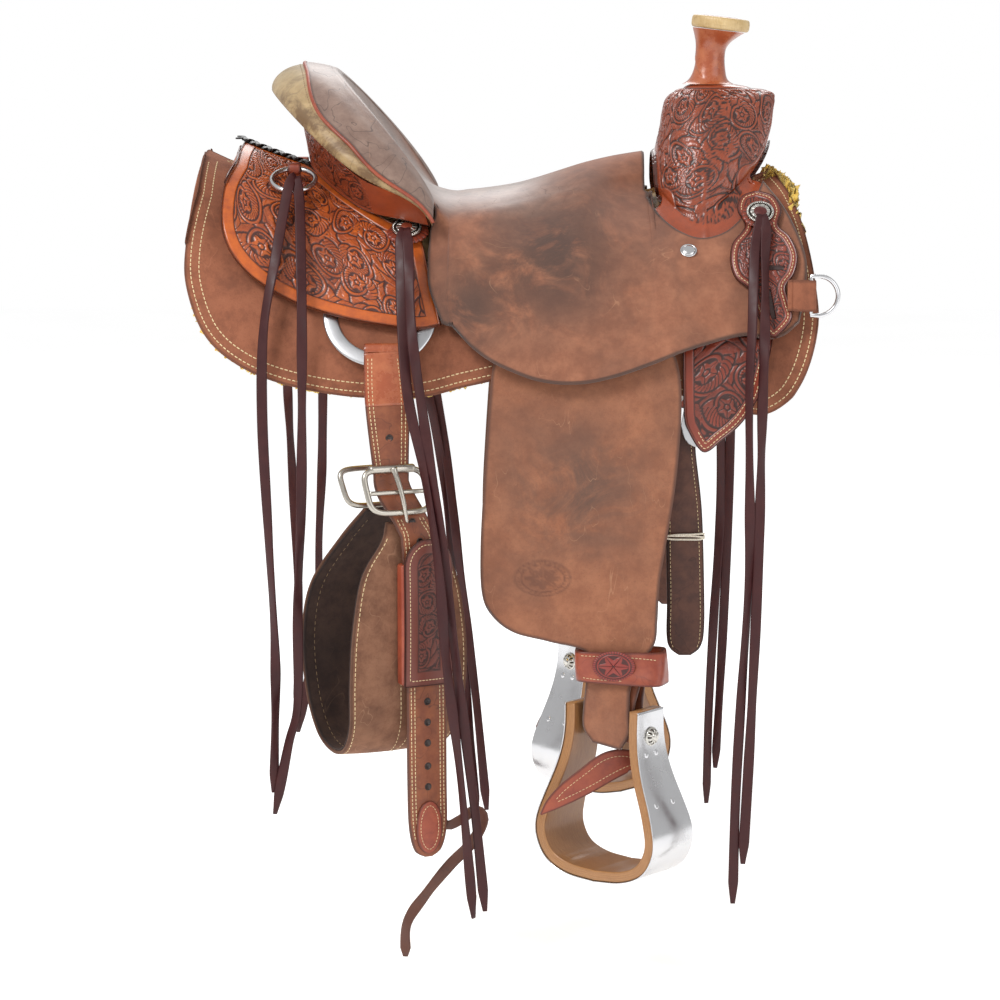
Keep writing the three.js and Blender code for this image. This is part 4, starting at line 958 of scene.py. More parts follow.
CONNECTOR = [
    [-90, 238, -574], [-84, 234, -592], [-74, 229, -628], [-62, 228, -652], [-45, 230, -646],
    [-28, 232, -634],
    [-19, 232, -645], [-32, 232, -672], [-57, 232, -698], [-85, 232, -733], [-106, 232, -766],
    [-108, 232, -805],
]


def flat_section(width, thickness, points=12, power=0.45):
    angle = full_turn(points)
    c, s = np.cos(angle), np.sin(angle)
    return np.stack(
        [np.sign(c) * np.abs(c) ** power * width / 2, np.sign(s) * np.abs(s) ** power * thickness / 2], axis=1
    )


def ribbon_rings(path, width, thickness, turns):
    """Rings of a flat lace: turns gives the angle of its face about its own line at each point."""
    tangent = unit(np.gradient(path, axis=0))
    side = unit(np.cross(tangent, [0, 1, 0]) + np.array([1e-6, 0, 0]))
    face = np.cross(side, tangent)
    c, s = np.cos(turns)[:, None], np.sin(turns)[:, None]
    wide, thin = side * c + face * s, face * c - side * s
    section = flat_section(1, 1, 12)
    w = np.broadcast_to(width, len(path))[:, None, None]
    across = section[None, :, :1] * wide[:, None] * w
    return path[:, None] + across + section[None, :, 1:] * thin[:, None] * thickness


def hanging_lace(name, route, side, body, node, seed, width=LACE_WIDE, thickness=LACE_THICK, look="lace"):
    """A flat lace along a route, turning a little about its own line and narrowed to its tip."""
    path = evenly(route, 5)
    path[:, 1] *= side
    rng = np.random.default_rng(seed)
    knots = rng.uniform(-0.9, 0.9, 9)
    turns = spline(knots[:, None], len(path) - 1)[:, 0]
    turns *= smooth(np.arange(len(path)) / 12)
    along = np.linspace(1, 0, len(path))
    taper = np.where(along < 0.03, 0.45 + along / 0.055, 1)
    rings = ribbon_rings(path, width * taper, thickness, turns)
    piece = loft(name, rings, LEATHERS[look])
    if body.startswith("stirrup_leathers"):
        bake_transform(piece)
    else:
        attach(piece, body)
    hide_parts(node)
    return piece


def make_laces():
    pairs = {
        "front_strings": (FRONT_STRINGS, 8), "mid_strings": (MID_STRINGS, 8),
        "rear_strings": (REAR_STRINGS, 7),
    }
    for word, side in SIDES.items():
        for number, (name, (route, middle)) in enumerate(pairs.items()):
            body = f"stirrup_leathers_{word}" if name == "front_strings" else "saddle"
            node = f"{name}_{word}"
            halves = (route[middle::-1], route[middle:])
            for k, half in enumerate(halves):
                hanging_lace(f"{node}_{k + 1}", half, side, body, node, 10 * number + k + 40 * (side + 1))
    hanging_lace(
        "connector_strap_looks", CONNECTOR, -1, "flank_rigging", "connector_strap", 77, 13, 3.6, "strap"
    )


make_laces()


# ---------- skirts and fleece ----------
SKIRT_HEM = [
    (-345, 60), (-355, 0), (-352, -45), (-331, -96), (-292, -130), (-236, -152), (-158, -165),
    (-90, -165), (-34, -152), (30, -140), (110, -140), (190, -158), (250, -176), (298, -184), (338, -150),
    (357, -90), (356, -40), (346, 20), (333, 58),
]
SKIRT_CROWN_X = [
    -342, -338, -332, -322, -305, -280, -240, -190, -130, -70, 0, 80, 160, 225, 268, 296, 310, 316, 316,
]
FLEECE_TOP = 13
SKIRT_TOP = 20.5


def crown_y(x):
    return LACED_GAP + (CHANNEL - LACED_GAP) * float(smooth((x + 262) / 40))


def skirt_grid(offset, columns, rows):
    crown = [(x, None, crown_y(x)) for x in SKIRT_CROWN_X]
    return rail_grid([SKIRT_HEM, crown], columns, rows, flat(offset))


def tucked(pad):
    """The lining's points, drawn in under the skirt at its rear corner and along its front edge."""
    x, z = pad.points[:, 0], pad.points[:, 2]
    rear = smooth((-215 - x) / 90) * smooth((z + 80) / 140)
    front = smooth((x - 230) / 60) * smooth((56 - z) / 16)
    inward = np.sign(pad.points[:, 1]) * rear
    return pad.points + np.stack([32 * rear - 11 * front, -17 * inward, -19 * rear], axis=1)


def make_skirts():
    base = skirt_grid(SKIRT_TOP, 340, 80)
    wool = skirt_grid(FLEECE_TOP, 300, 70)
    rng = np.random.default_rng(5)
    for word, side in SIDES.items():
        sheet = Sheet(on_side(base, side))
        wave = 0.7 * np.sin(sheet.points[:, 0] / 23) * np.cos(sheet.points[:, 2] / 31)
        wave *= smooth((sheet.distance - 20) / 20)
        piece = sheet.solid(f"skirt_{word}_looks", LEATHERS["skirt"], LEATHER_THICK, wave, rim=1.6)
        finish_piece(piece, "saddle", "roughout", f"skirt_{word}")
        rows = [run for d in (7, 16.5) for run in contour(sheet, d, lambda p: p[:, 2] < 92)]
        sew(f"skirt_stitches_{word}", sheet.tree(), rows, "saddle", pitch=5.4, length=4.0, wide=1.7)
        pad = Sheet(on_side(wool, side))
        pad.points = tucked(pad)
        tuft = rng.random(len(pad.points))
        spread = np.where(pad.distance < 9, 1, 0)[:, None]
        pad.points += spread * np.array([0.8, 0, 0]) * np.sign(pad.points[:, :1]) * tuft[:, None]
        curl = 1.6 * tuft * np.where(pad.distance < 14, 0.2, 1)
        whole, faces, made = thicken(pad.points, pad.faces, 12.5, 5, curl)
        rim = np.where(made["border"] < 5, 1, 0)[:, None] * rng.normal(0, 0.7, whole.shape)
        under = made["back"][:, None] * rng.normal(0, 1.0, whole.shape)
        wooly = make_mesh(f"fleece_{word}_looks", whole + rim + under, faces, FLEECE)
        finish_piece(wooly, "saddle", "fleece", f"fleece_{word}")
        make_tufts(f"fleece_tufts_{word}", pad, rng)


def make_tufts(name, pad, rng):
    """Locks of wool that show past the skirt's edge, longest at the front of the gullet."""
    x, y, z = pad.points.T
    front = (x > 280) & (z > 46)
    low = (z < -90) & (x < -200)
    near = np.flatnonzero((pad.distance < 4) & (np.abs(y) > 12) & (front | low))
    chosen = rng.choice(near, 260)
    skins = []
    for k in chosen:
        root = pad.points[k] - pad.normals[k] * rng.uniform(3, 11)
        away = np.array([np.sign(x[k]) * 0.6, 0, -0.4]) + rng.normal(0, 0.5, 3)
        away -= pad.normals[k] * rng.uniform(0.1, 0.6)
        tip = root + unit(away) * rng.uniform(2.5, 5 if front[k] else 3.5)
        bend = (root + tip) / 2 + rng.normal(0, 1.0, 3)
        t = np.linspace(0, 1, 4)[:, None]
        line = (1 - t) ** 2 * root + 2 * t * (1 - t) * bend + t**2 * tip
        size = np.array([1.6, 1.7, 1.2, 0.3])
        a = unit(np.cross(unit(away), [0.3, 0.2, 0.9]))
        b = np.cross(unit(away), a)
        angle = np.arange(5) * 2 * np.pi / 5
        ring = np.cos(angle)[:, None] * a + np.sin(angle)[:, None] * b
        skins.append(loft_mesh(line[:, None] + ring[None] * size[:, None, None]))
    points, faces = merged(skins)
    finish_piece(make_mesh(name, points, faces, FLEECE), "saddle", "fleece")


# ---------- rear housings ----------
def rear_jockey_top(x, z):
    return lerp(33, 50, smooth((z + 75) / 75))


REAR_HEM = [
    (-303, 92), (-314, 64), (-312, 19), (-289, -21), (-239, -55), (-182, -74), (-130, -84), (-92, -88),
    (-66, -84),
]
REAR_CROWN_LINE = [
    (-298, 3.5), (-286, 3.5), (-264, 3.5), (-241, 3.5), (-224, 20), (-206, 52), (-172, 92), (-128, 122),
    (-90, 132),
]


def make_rear_jockeys():
    crown = [(x, None, y) for x, y in REAR_CROWN_LINE]
    base = rail_grid([REAR_HEM, crown], 330, 210, rear_jockey_top)
    for word, side in SIDES.items():
        sheet = Sheet(on_side(base, side))
        height, made = tooling(sheet, 52, seed=21, band=15, depth=1.3, chart_of=base)
        piece = sheet.solid(f"rear_jockey_{word}_looks", LEATHERS["tooled"], LEATHER_THICK, height, made, 1.6)
        finish_piece(piece, "saddle", "tooled", f"rear_jockey_{word}")


def make_ridge_lacing():
    """Braided thongs that close the two housings along the ridge."""
    skins = []
    over = flat(51)
    for k in range(13):
        x = -301 + 7.2 * k
        for lean in (-1, 1):
            across = np.linspace(-1, 1, 15)
            xs = x + lean * across * 5
            half = 15 - 2 * (k % 2)
            p = find_p(xs, np.abs(across) * half + 0.05, over, True)
            line = layer_point(xs, p, over)
            line[:, 1] = across * half
            line[:, 2] += 0.8 + 1.0 * (1 - across**2) + lean * 0.7 * (1 if k % 2 else -1)
            tangent = unit(np.gradient(line, axis=0))
            wide = unit(np.cross(tangent, [0, 0, 1.0]))
            skins.append(loft_mesh(strap_rings(line, wide, 6.6, 1.9, 10)))
    points, faces = merged(skins)
    piece = make_mesh("ridge_lacing", points, faces, LEATHERS["black_lace"])
    finish_piece(piece, "saddle", "dark")


# ---------- seat ----------
SEAT_HALF_WIDTH = 246
CREST_HALF_WIDTH = 150
POCKET_X = -55
FORK_X = 168
SEAT_LINE = [(-55, 56), (-20, 59), (23, 66), (70, 80), (117, 94), (168, 103)]
MAIN_HEM = [(-55, -84), (-22, -114), (22, -136), (62, -146), (112, -143), (168, -125)]
SIDE_CELLS = 4
TOP_CELLS = 8


def seat_top(x, z):
    low = 52 - 12 * smooth((-20 - x) / 50) - 14 * smooth((x - 190) / 50)
    return lerp(low, 52, smooth((z + 90) / 90))


def seat_height(x):
    curve = spline(SEAT_LINE, 40)
    return float(np.interp(x, curve[:, 0], curve[:, 1]))


def seat_side(x, z):
    height = min(max((z - HEM_Z) / (seat_height(x) - HEM_Z), 0), 1)
    crown = lerp(3, 1.8, float(smooth((x + 80) / 140)))
    reach = SEAT_HALF_WIDTH * (1 - height**SIDE_POWER) ** (1 / crown)
    lie = max(float(smooth((20 - z) / 120)), float(smooth((x - 95) / 70)))
    return [x, lerp(reach, float(on_layer(x, z, seat_top)[1]), lie), z]


def seat_station(x, hem):
    shoulder_z = lerp(30, 60, float(smooth((x - POCKET_X) / (FORK_X - POCKET_X))))
    side = [seat_side(x, lerp(hem, shoulder_z, j / SIDE_CELLS)) for j in range(SIDE_CELLS + 1)]
    crown, shoulder = seat_height(x), side[-1]
    over = []
    for j in range(1, TOP_CELLS):
        across = 1 - 2 * j / TOP_CELLS
        over.append([x, shoulder[1] * across, crown - (crown - shoulder[2]) * abs(across) ** 2.2])
    far = [[q[0], -q[1], q[2]] for q in side[::-1]]
    return side + over + far


def crest(theta):
    c = np.maximum(np.cos(theta), 0)
    return np.stack([-76 - 112 * c, CREST_HALF_WIDTH * np.sin(theta), 50 + 147 * c**0.8], axis=-1)


def outboard(theta):
    return unit(np.stack([-np.cos(theta) / 112, np.sin(theta) / CREST_HALF_WIDTH, 0 * theta], axis=-1))


def seat_rear():
    edge = [(-66, -80), (-80, -44), (-82, -14), (-80, 16)]
    side = [on_layer(x, z, seat_top).tolist() for x, z in edge] + [crest(np.pi / 2).tolist()]
    over = [crest(np.pi / 2 * (1 - 2 * j / TOP_CELLS)).tolist() for j in range(1, TOP_CELLS)]
    far = [[q[0], -q[1], q[2]] for q in side[::-1]]
    return side + over + far


def seat_grid():
    rear, front = np.array(seat_rear()), np.array(seat_station(POCKET_X, MAIN_HEM[0][1]))
    rows = []
    for r in (1, 0.8, 0.6, 0.4, 0.2):
        row = lerp(front, rear, r)
        row[:, 2] = lerp(front[:, 2], rear[:, 2], r**1.8)
        rows.append(row)
    rows += [np.array(seat_station(x, z)) for x, z in spline(MAIN_HEM, 8)]
    notch = [(168, 60), (172, 50), (184, 33), (215, 13), (255, 18), (284, 45), (301, 74)]
    middle = [(168, -20), (180, -44), (198, -50), (226, -50), (266, -42), (306, -26), (343, -6)]
    hem = [(168, -125), (186, -118), (213, -109), (245, -100), (278, -94), (308, -98), (335, -80)]
    wing = rail_grid([hem, middle, notch], 9, SIDE_CELLS, seat_top)[1:]
    filler = rows[-1][SIDE_CELLS + 1 : SIDE_CELLS + TOP_CELLS]
    for row in wing:
        rows.append(np.concatenate([row, filler, mirror(row)[::-1]]))
    return np.array(rows)


ROW_FINE = 11
COLUMN_FINE = 14
WING_ROW = 13


def fine_seat():
    """The seat's grid made finer. Beside the open middle each wing is smoothed by itself."""
    control = seat_grid()
    tall = spline(control, ROW_FINE * (len(control) - 1))
    across = np.swapaxes(tall, 0, 1)
    whole = np.swapaxes(spline(across, COLUMN_FINE * 16), 0, 1)
    side = COLUMN_FINE * SIDE_CELLS
    left = np.swapaxes(spline(across[: SIDE_CELLS + 1], side), 0, 1)
    right = np.swapaxes(spline(across[-SIDE_CELLS - 1 :], side), 0, 1)
    start = ROW_FINE * WING_ROW
    weight = smooth((np.arange(len(tall)) - start) / 8)[:, None, None]
    whole[:, : side + 1] = lerp(whole[:, : side + 1], left, weight)
    whole[:, -side - 1 :] = lerp(whole[:, -side - 1 :], right, weight)
    i, j = np.meshgrid(np.arange(len(tall) - 1), np.arange(COLUMN_FINE * 16), indexing="ij")
    present = (i < start) | (j < side) | (j >= COLUMN_FINE * 12)
    return whole, present


def make_seat():
    grid, present = fine_seat()
    sheet = Sheet(grid, present)
    p = sheet.points
    x, y, z = p[:, 0], np.abs(p[:, 1]), p[:, 2]
    bowl = smooth((120 - x) / 130) * smooth((165 - y) / 60) * smooth((z - 15) / 50)
    stain = ridge(x, 65, 85) * ridge(z, -10, 90)
    stain += 0.8 * ridge(x, -40, 45) * ridge(z, -70, 60)
    wave = 1.1 * np.sin(x / 29 + 1) * np.cos(z / 24)
    wave = wave * smooth((y - 120) / 60) * smooth((sheet.distance - 5) / 30)
    made = {"bowl": bowl, "stain": np.clip(stain, 0, 1)}
    at_crest = smooth((-70 - x) / 4) * smooth((z - 45) / 10)
    made["border"] = sheet.distance + 20 * at_crest
    piece = sheet.solid("seat_leather_looks", SEAT_LEATHER, LEATHER_THICK, wave, made, 1.7)
    finish_piece(piece, "saddle", "seat", "seat_leather", "ground_seat")


# ---------- cantle ----------
ROLL_FLAT = [
    (0, 0), (14, 5), (34, 7), (54, 2), (68, -9), (72, -22), (60, -32), (36, -35), (14, -27), (2, -14),
]
ROLL_SIDE = [
    (0, 0), (12, -3), (26, -10), (42, -26), (54, -44), (52, -56), (40, -58), (24, -46), (10, -30),
    (1, -14),
]
ROLL_GAP = 6
ROLL_STEPS = 6


def closed_spline(points, steps):
    p = np.asarray(points, float)
    wrapped = np.concatenate([p[-3:], p, p[:4]])
    fine = spline(wrapped, steps * (len(wrapped) - 1))
    return fine[3 * steps : (3 + len(p)) * steps]


def roll_rings(count):
    theta = np.linspace(-np.pi / 2, np.pi / 2, count)
    turn = np.sin(theta) ** 2
    size = 1 - 0.55 * turn**8
    a, b = closed_spline(ROLL_FLAT, ROLL_STEPS), closed_spline(ROLL_SIDE, ROLL_STEPS)
    section = lerp(a[None], b[None], turn[:, None, None]) * size[:, None, None]
    out = outboard(theta)
    rings = crest(theta)[:, None] + out[:, None] * (section[..., :1] + ROLL_GAP)
    rings[..., 2] += section[..., 1]
    return theta, rings


def make_cantle():
    theta, rings = roll_rings(200)
    sides = rings.shape[1]
    across = np.linspace(0, 2, sides, endpoint=False)
    across = np.where(across > 1, 2 - across, across)
    made = {"across": np.tile(across, (len(theta), 1)), "border": np.full(rings.shape[:2], 20.0)}
    piece = loft("cantle_roll_looks", rings, RAWHIDE, attributes=made)
    finish_piece(piece, "saddle", "rawhide", "cantle_roll")
    seam = seam_place(theta)
    inner = along_rings(rings, seam + 1.6)[6:-6]
    outer = rings[6:-6, 30]
    sew(
        "cantle_roll_stitches", skin_tree(rings), [inner, outer], "saddle", pitch=5.0, length=3.4, wide=1.0,
        material=LACE_THREAD,
    )
    make_seat_wrap(theta, rings, seam)
    make_cantle_back()


def seam_place(theta):
    """Where, round the roll's section, the seat leather ends on it."""
    turn = np.sin(theta) ** 2
    return ROLL_STEPS * (lerp(2.0, 3.3, smooth(turn / 0.55)) + 0.9 * smooth((turn - 0.7) / 0.3))


def along_rings(rings, at):
    """One point on each ring, at a place between its points."""
    low = np.floor(at).astype(int)
    row = np.arange(len(rings))
    return lerp(rings[row, low], rings[row, low + 1], (at - low)[:, None])


def make_seat_wrap(theta, rings, seam):
    """The seat's leather carried over the cantle's crest on to the roll, and the cord at its seam."""
    rows = [crest(theta) - outboard(theta) * 3 + [0, 0, -6], crest(theta) + outboard(theta) * 4 + [0, 0, 0.8]]
    for share in np.linspace(0.12, 1, 12):
        rows.append(along_rings(rings, seam * share))
    grid = spline(np.swapaxes(np.array(rows), 0, 1), len(theta) * 2)
    grid = np.swapaxes(spline(np.swapaxes(grid, 0, 1), 60), 0, 1)
    sheet = flat_sheet(grid, (-0.3, 0, 1))
    sheet.points = sheet.points + sheet.normals * 1.8
    line = sheet.points.reshape(grid.shape)[:, -1]
    away = border_distance(sheet.points, line)
    made = {"bowl": np.ones(len(away)), "stain": np.zeros(len(away)), "border": away}
    piece = sheet.solid("cantle_seat_wrap", SEAT_LEATHER, 2.4, attributes=made, rim=0.8)
    finish_piece(piece, "saddle", "seat")
    cord = tube(line - [0, 0, 0.6], 2.1, 12)
    made = {"border": np.full(cord.shape[:2], 9.0)}
    piece = loft("cantle_welt", cord, LEATHERS["red_strap"], attributes=made)
    finish_piece(piece, "saddle", "tooled")


def make_cantle_back():
    """The tooled facing under the roll; towards its two ends it is a plain band."""
    span = math.radians(85)
    rows = []
    for theta in np.linspace(-span, span, 29):
        turn = math.sin(theta) ** 2
        end = turn**8
        reach = lerp(46, 15, end)
        top = crest(theta) + outboard(theta) * reach + np.array([0, 0, lerp(-42 - 24 * turn, -14, end)])
        base = np.array([-66 - 156 * math.cos(theta), 142 * math.sin(theta), 0.0])
        over = flat(50.8)
        p = find_p(base[0], abs(base[1]), over, True)
        raised = 10 * float(smooth((abs(theta) - math.radians(52)) / math.radians(26)))
        base[2] = min(float(layer_point(base[0], p, over)[2]) + raised, top[2] - 8)
        rows.append([lerp(top, base, t) for t in (0, 0.33, 0.66, 1)])
    grid = refine(np.array(rows), 420, 90)
    sheet = flat_sheet(grid, (-1, 0, 0))
    theta = np.abs(np.linspace(-span, span, grid.shape[0]))[:, None] + 0 * grid[..., 0]
    smooth_part = smooth((theta.ravel() - math.radians(58)) / math.radians(3))
    height, made = tooling(sheet, 46, seed=8, band=6, depth=1.1)
    made["tool"] = lerp(made["tool"], 1, smooth_part)
    made["plain"] = np.maximum(made["plain"], smooth_part)
    piece = sheet.solid(
        "cantle_back_looks", LEATHERS["swell"], COVER_THICK, height * (1 - smooth_part), made, 1.2,
    )
    finish_piece(piece, "saddle", "tooled", "cantle_back")


# ---------- swell ----------
FORK_LEVELS = [
    (12, 208, 246, 128), (18, 203, 258, 127), (34, 187, 277, 123), (60, 178, 290, 114),
    (94, 180, 305, 101), (129, 187, 316, 86), (150, 190, 319, 73), (163, 194, 321, 60),
    (172, 204, 316, 44), (180, 222, 276, 27),
]
FORK_SQUARENESS = 2.8
GULLET_HALF = 79
GULLET_TOP = 101
NECK = (243, 20, 181.6)
NOTCH_CENTRE = np.array([232, 75])
NOTCH_REACH = 71
FOOT_LIFT = 4.2
FOOT_ROWS = 22
SWELL_MIDDLE_X = 247
SWELL_TOOLED_TOP = 176
SWELL_BEAD_Z = 176.5


def fork_point(theta, levels):
    z, rear, front, half = levels.T
    c, s = np.cos(theta), np.sin(theta)
    power = 2 / FORK_SQUARENESS
    x = (rear + front) / 2 + np.sign(c) * np.abs(c) ** power * (front - rear) / 2
    y = np.sign(s) * np.abs(s) ** power * half
    return np.stack([x, y, z], axis=-1)


def bar_top(x, z):
    return lerp(27, 42, smooth((z + 55) / 50))


def swell_grid(columns, rows):
    """The fork's leather from its foot on the bars, or from the gullet's edge, up to the horn."""
    t = np.linspace(0, 1, 200)
    levels = spline(np.array(FORK_LEVELS, float), 199)
    around = np.linspace(0, 2 * np.pi, columns + 1)
    theta = around + 0.16 * np.sin(4 * around)
    every = np.stack([fork_point(np.full(200, a), levels) for a in theta])
    x, y, z = every[..., 0], np.abs(every[..., 1]), every[..., 2]
    over = lambda a, b: bar_top(a, b) + 3.5
    p = find_p(x, np.minimum(y, HALF_WIDTH + 30), over, True)
    ground = layer_point(x, p, over)[..., 2]
    q = np.clip(1 - (y / GULLET_HALF) ** 2, 0, 1)
    arch = np.where(y < GULLET_HALF, GULLET_TOP * np.sqrt(q) ** 0.9, -400)
    low = np.maximum(ground, arch)
    grid = np.empty((columns + 1, rows, 3))
    for k in range(columns + 1):
        hidden = z[k] < low[k]
        first = (np.flatnonzero(hidden)[-1] + 1) if hidden.any() else 0
        at = lerp(min(first, 190), 199, np.linspace(0, 1, rows)) / 199
        grid[k] = np.stack([np.interp(at, t, every[k, :, a]) for a in range(3)], axis=1)
    neck_x, neck_r, neck_z = NECK
    level = np.full(len(theta), neck_z - 0.5)
    ring = np.stack([neck_x + neck_r * np.cos(theta), neck_r * np.sin(theta), level], axis=1)
    more = np.stack([lerp(grid[:, -1], ring, a) for a in (0.5, 1)], axis=1)
    return np.concatenate([swell_foot(grid), grid[:, FOOT_BLEND:], more], axis=1)


FOOT_BLEND = 14


def swell_foot(grid):
    """Rows that carry the swell's leather out over the bars, to under the seat's edge."""
    start = grid[:, 0]
    flat_start = start[:, [0, 2]]
    away = flat_start - NOTCH_CENTRE
    reach = np.linalg.norm(away, axis=1)
    aim = away / reach[:, None]
    on_bar = smooth((np.abs(start[:, 1]) - GULLET_HALF) / 6)
    outer = np.maximum(NOTCH_REACH, reach + 2)
    rows = []
    for share in (1, 0.66, 0.36):
        spot = NOTCH_CENTRE + aim * lerp(reach, outer, share)[:, None]
        foot = on_layer(spot[:, 0], spot[:, 1], lambda x, z: bar_top(x, z) + FOOT_LIFT)
        foot[:, 1] *= np.sign(start[:, 1] + 1e-9)
        rows.append(lerp(start - [0, 0, 0.2 * share], foot, on_bar[:, None]))
    rows.append(grid[:, FOOT_BLEND // 2])
    rows.append(grid[:, FOOT_BLEND])
    joined = spline(np.array(rows), FOOT_ROWS)
    return np.swapaxes(joined[:-1], 0, 1)


def make_swell():
    grid = swell_grid(600, 190)
    columns, rows = grid.shape[:2]
    points = grid[:-1].reshape(-1, 3)
    i, j = np.meshgrid(np.arange(columns - 1), np.arange(rows - 1), indexing="ij")
    k = (i + 1) % (columns - 1)
    faces = np.stack([i * rows + j, k * rows + j, k * rows + j + 1, i * rows + j + 1], axis=-1).reshape(-1, 4)
    if (vertex_normals(points, faces) * (points - points.mean(0))).sum() < 0:
        faces = faces[:, ::-1]
    sheet = Sheet.made_of(points, faces)
    sheet.distance = border_distance(points, grid[:-1, 0])
    side = np.sign(points[:, 1] + 1e-9)
    angle = np.arctan2(points[:, 1], points[:, 0] - SWELL_MIDDLE_X)
    pattern = floral(angle * 95 * side, points[:, 2] * 1.08, 47, 33)
    band = lerp(11, 27, smooth((np.abs(points[:, 1]) - 70) / 40))
    inside = smooth((sheet.distance - band) / 1.0) * smooth((SWELL_TOOLED_TOP - points[:, 2]) / 2)
    bead = ridge(sheet.distance, band, 0.8)
    bead = bead + ridge(points[:, 2], SWELL_BEAD_Z, 0.8)
    tool = (1 - inside) + pattern * inside
    tool *= 1 - 0.9 * np.clip(bead, 0, 1)
    welt = swell_welt(points)
    height = 1.4 * (tool - 1) * (1 - welt) + 1.8 * welt
    made = {"tool": np.maximum(tool, welt), "plain": np.clip(1 - inside + welt, 0, 1)}
    piece = sheet.solid("swell_cover_looks", LEATHERS["swell"], COVER_THICK, height, made, 1.2)
    finish_piece(piece, "saddle", "swell", "swell_cover")


def swell_welt(points):
    """The raised seam up the lower half of each side, a little behind its widest line."""
    low = smooth((np.abs(points[:, 1]) - 30) / 10) * smooth((78 - points[:, 2]) / 8)
    return ridge(points[:, 0], 234, 1.5) * low


# ---------- horn ----------
NECK_LEVELS = [
    (180.6, 243, 30, 0), (182.6, 243, 26.2, 0), (186, 243.3, 22.6, 0), (192, 244, 19.4, 0),
    (201, 244.8, 17.3, 0), (212, 245.5, 16.4, 0), (221, 246.6, 16.8, 0.01), (228, 248.6, 19, 0.04),
    (234, 251, 22.6, 0.08), (239, 253.4, 26.4, 0.1), (242.8, 255.6, 29.6, 0.115),
]
CAP_CENTRE = np.array([257.5, 0, 250.5])
CAP_TILT = 0.115


def frame_of(axis):
    axis = unit(axis)
    first = unit(np.cross([0, 1, 0], axis))
    return first, np.cross(axis, first), axis


def turned(profile, centre, axis, sides=72, wobble=None):
    """A turned skin from (radius, height) points; wobble adds to the height at each angle and radius."""
    a, b, up = frame_of(np.asarray(axis, float))
    angle = full_turn(sides)
    profile = np.asarray(profile, float)
    radius = profile[:, 0][:, None] + 0 * angle[None]
    height = profile[:, 1][:, None] + 0 * angle[None]
    if wobble is not None:
        height = height + wobble(radius, angle[None] + 0 * radius)
    ring = np.cos(angle)[None, :, None] * a + np.sin(angle)[None, :, None] * b
    return np.asarray(centre, float) + radius[..., None] * ring + height[..., None] * up


def fine_profile(points, steps):
    p = np.asarray(points, float)
    out = []
    for a, b in zip(p[:-1], p[1:]):
        out += [lerp(a, b, t) for t in np.linspace(0, 1, steps, endpoint=False)]
    return np.array(out + [p[-1]])


def rounded(points, passes=2):
    """Corners of an open profile cut off, again and again."""
    p = np.asarray(points, float)
    for _ in range(passes):
        a = lerp(p[:-1], p[1:], 0.25)
        b = lerp(p[:-1], p[1:], 0.75)
        p = np.concatenate([p[:1], np.stack([a, b], axis=1).reshape(-1, 2), p[-1:]])
    return p


def make_horn():
    levels = spline(np.array(NECK_LEVELS, float), 120)
    angle = full_turn(96)
    z, x, r, slope = (levels[:, k][:, None] for k in range(4))
    turn = (angle[None] / (2 * np.pi) + (z - 184) / 120 + 0.28) % 1
    lap = smooth(turn / 0.012) * (1 - turn) * 1.3 * smooth((z - 184) / 12)
    out = (r + lap) * np.cos(angle)
    rings = np.stack([x + out, (r + lap) * np.sin(angle), z - out * slope], axis=-1)
    made = {"border": np.minimum(turn, 1 - turn) * 2 * np.pi * r + lerp(4, 1.2, smooth((z - 186) / 12))}
    piece = loft("horn_wrap_looks", rings, LEATHERS["orange"], attributes=made)
    finish_piece(piece, "saddle", "horn", "horn_wrap")
    make_horn_cap()


def make_horn_cap():
    up = np.array([math.sin(CAP_TILT), 0, math.cos(CAP_TILT)])
    top = rounded(
        [(0.01, 8.2), (17, 8.2), (24, 7.6), (28, 6.4), (29.4, 4), (29.4, -5), (26, -7.4), (0.01, -7.4)]
    )
    profile = fine_profile(top, 3)

    def carve(radius, angle):
        petals = floral(radius * np.cos(angle), radius * np.sin(angle), 34, 3)
        return 0.9 * (petals - 1) * smooth((22 - radius) / 2) * (profile[:, 1][:, None] > 7)

    rings = turned(profile, CAP_CENTRE, up, 160, carve)
    x = full_turn(160)[None]
    radius = profile[:, 0][:, None] + 0 * x
    petals = floral(radius * np.cos(x), radius * np.sin(x), 34, 3)
    tool = petals * smooth((22 - radius) / 2) + smooth((radius - 20) / 2)
    made = {"tool": tool, "plain": smooth((radius - 21) / 2), "border": np.full(radius.shape, 9.0)}
    piece = loft("horn_cap_looks", rings, LEATHERS["panel"], attributes=made)
    finish_piece(piece, "saddle", "rawhide", "horn_cap")
    around = full_turn(20)
    c, s = np.cos(around), np.sin(around)
    ring = np.stack([29.4 + 4.3 * squarer(c, 0.6), 7.2 * squarer(s, 0.7)], axis=1)
    bind = turned(ring, CAP_CENTRE, up, 200)
    rope = 0.35 * np.sin(np.arange(200) * 2 * np.pi / 200 * 64)[None] * c[:, None]
    bind += rope[..., None] * unit(bind - CAP_CENTRE)
    rings = np.swapaxes(bind, 0, 1)
    made = {"across": np.full(rings.shape[:2], 0.2), "border": np.full(rings.shape[:2], 9.0)}
    rim = loft("horn_cap_rim_looks", rings, HORN_RAWHIDE, True, made)
    finish_piece(rim, "saddle", "rawhide", "horn_cap_binding")


# ---------- round ornaments ----------
def disc_frame(x, z, offset, side, lift=0.0):
    """Where a disc lies on a layer, and which way it faces."""
    centre, normal = normal_at(x, z, offset)
    centre = centre + normal * lift
    if side < 0:
        centre, normal = mirror(centre), mirror(normal)
    return centre, normal


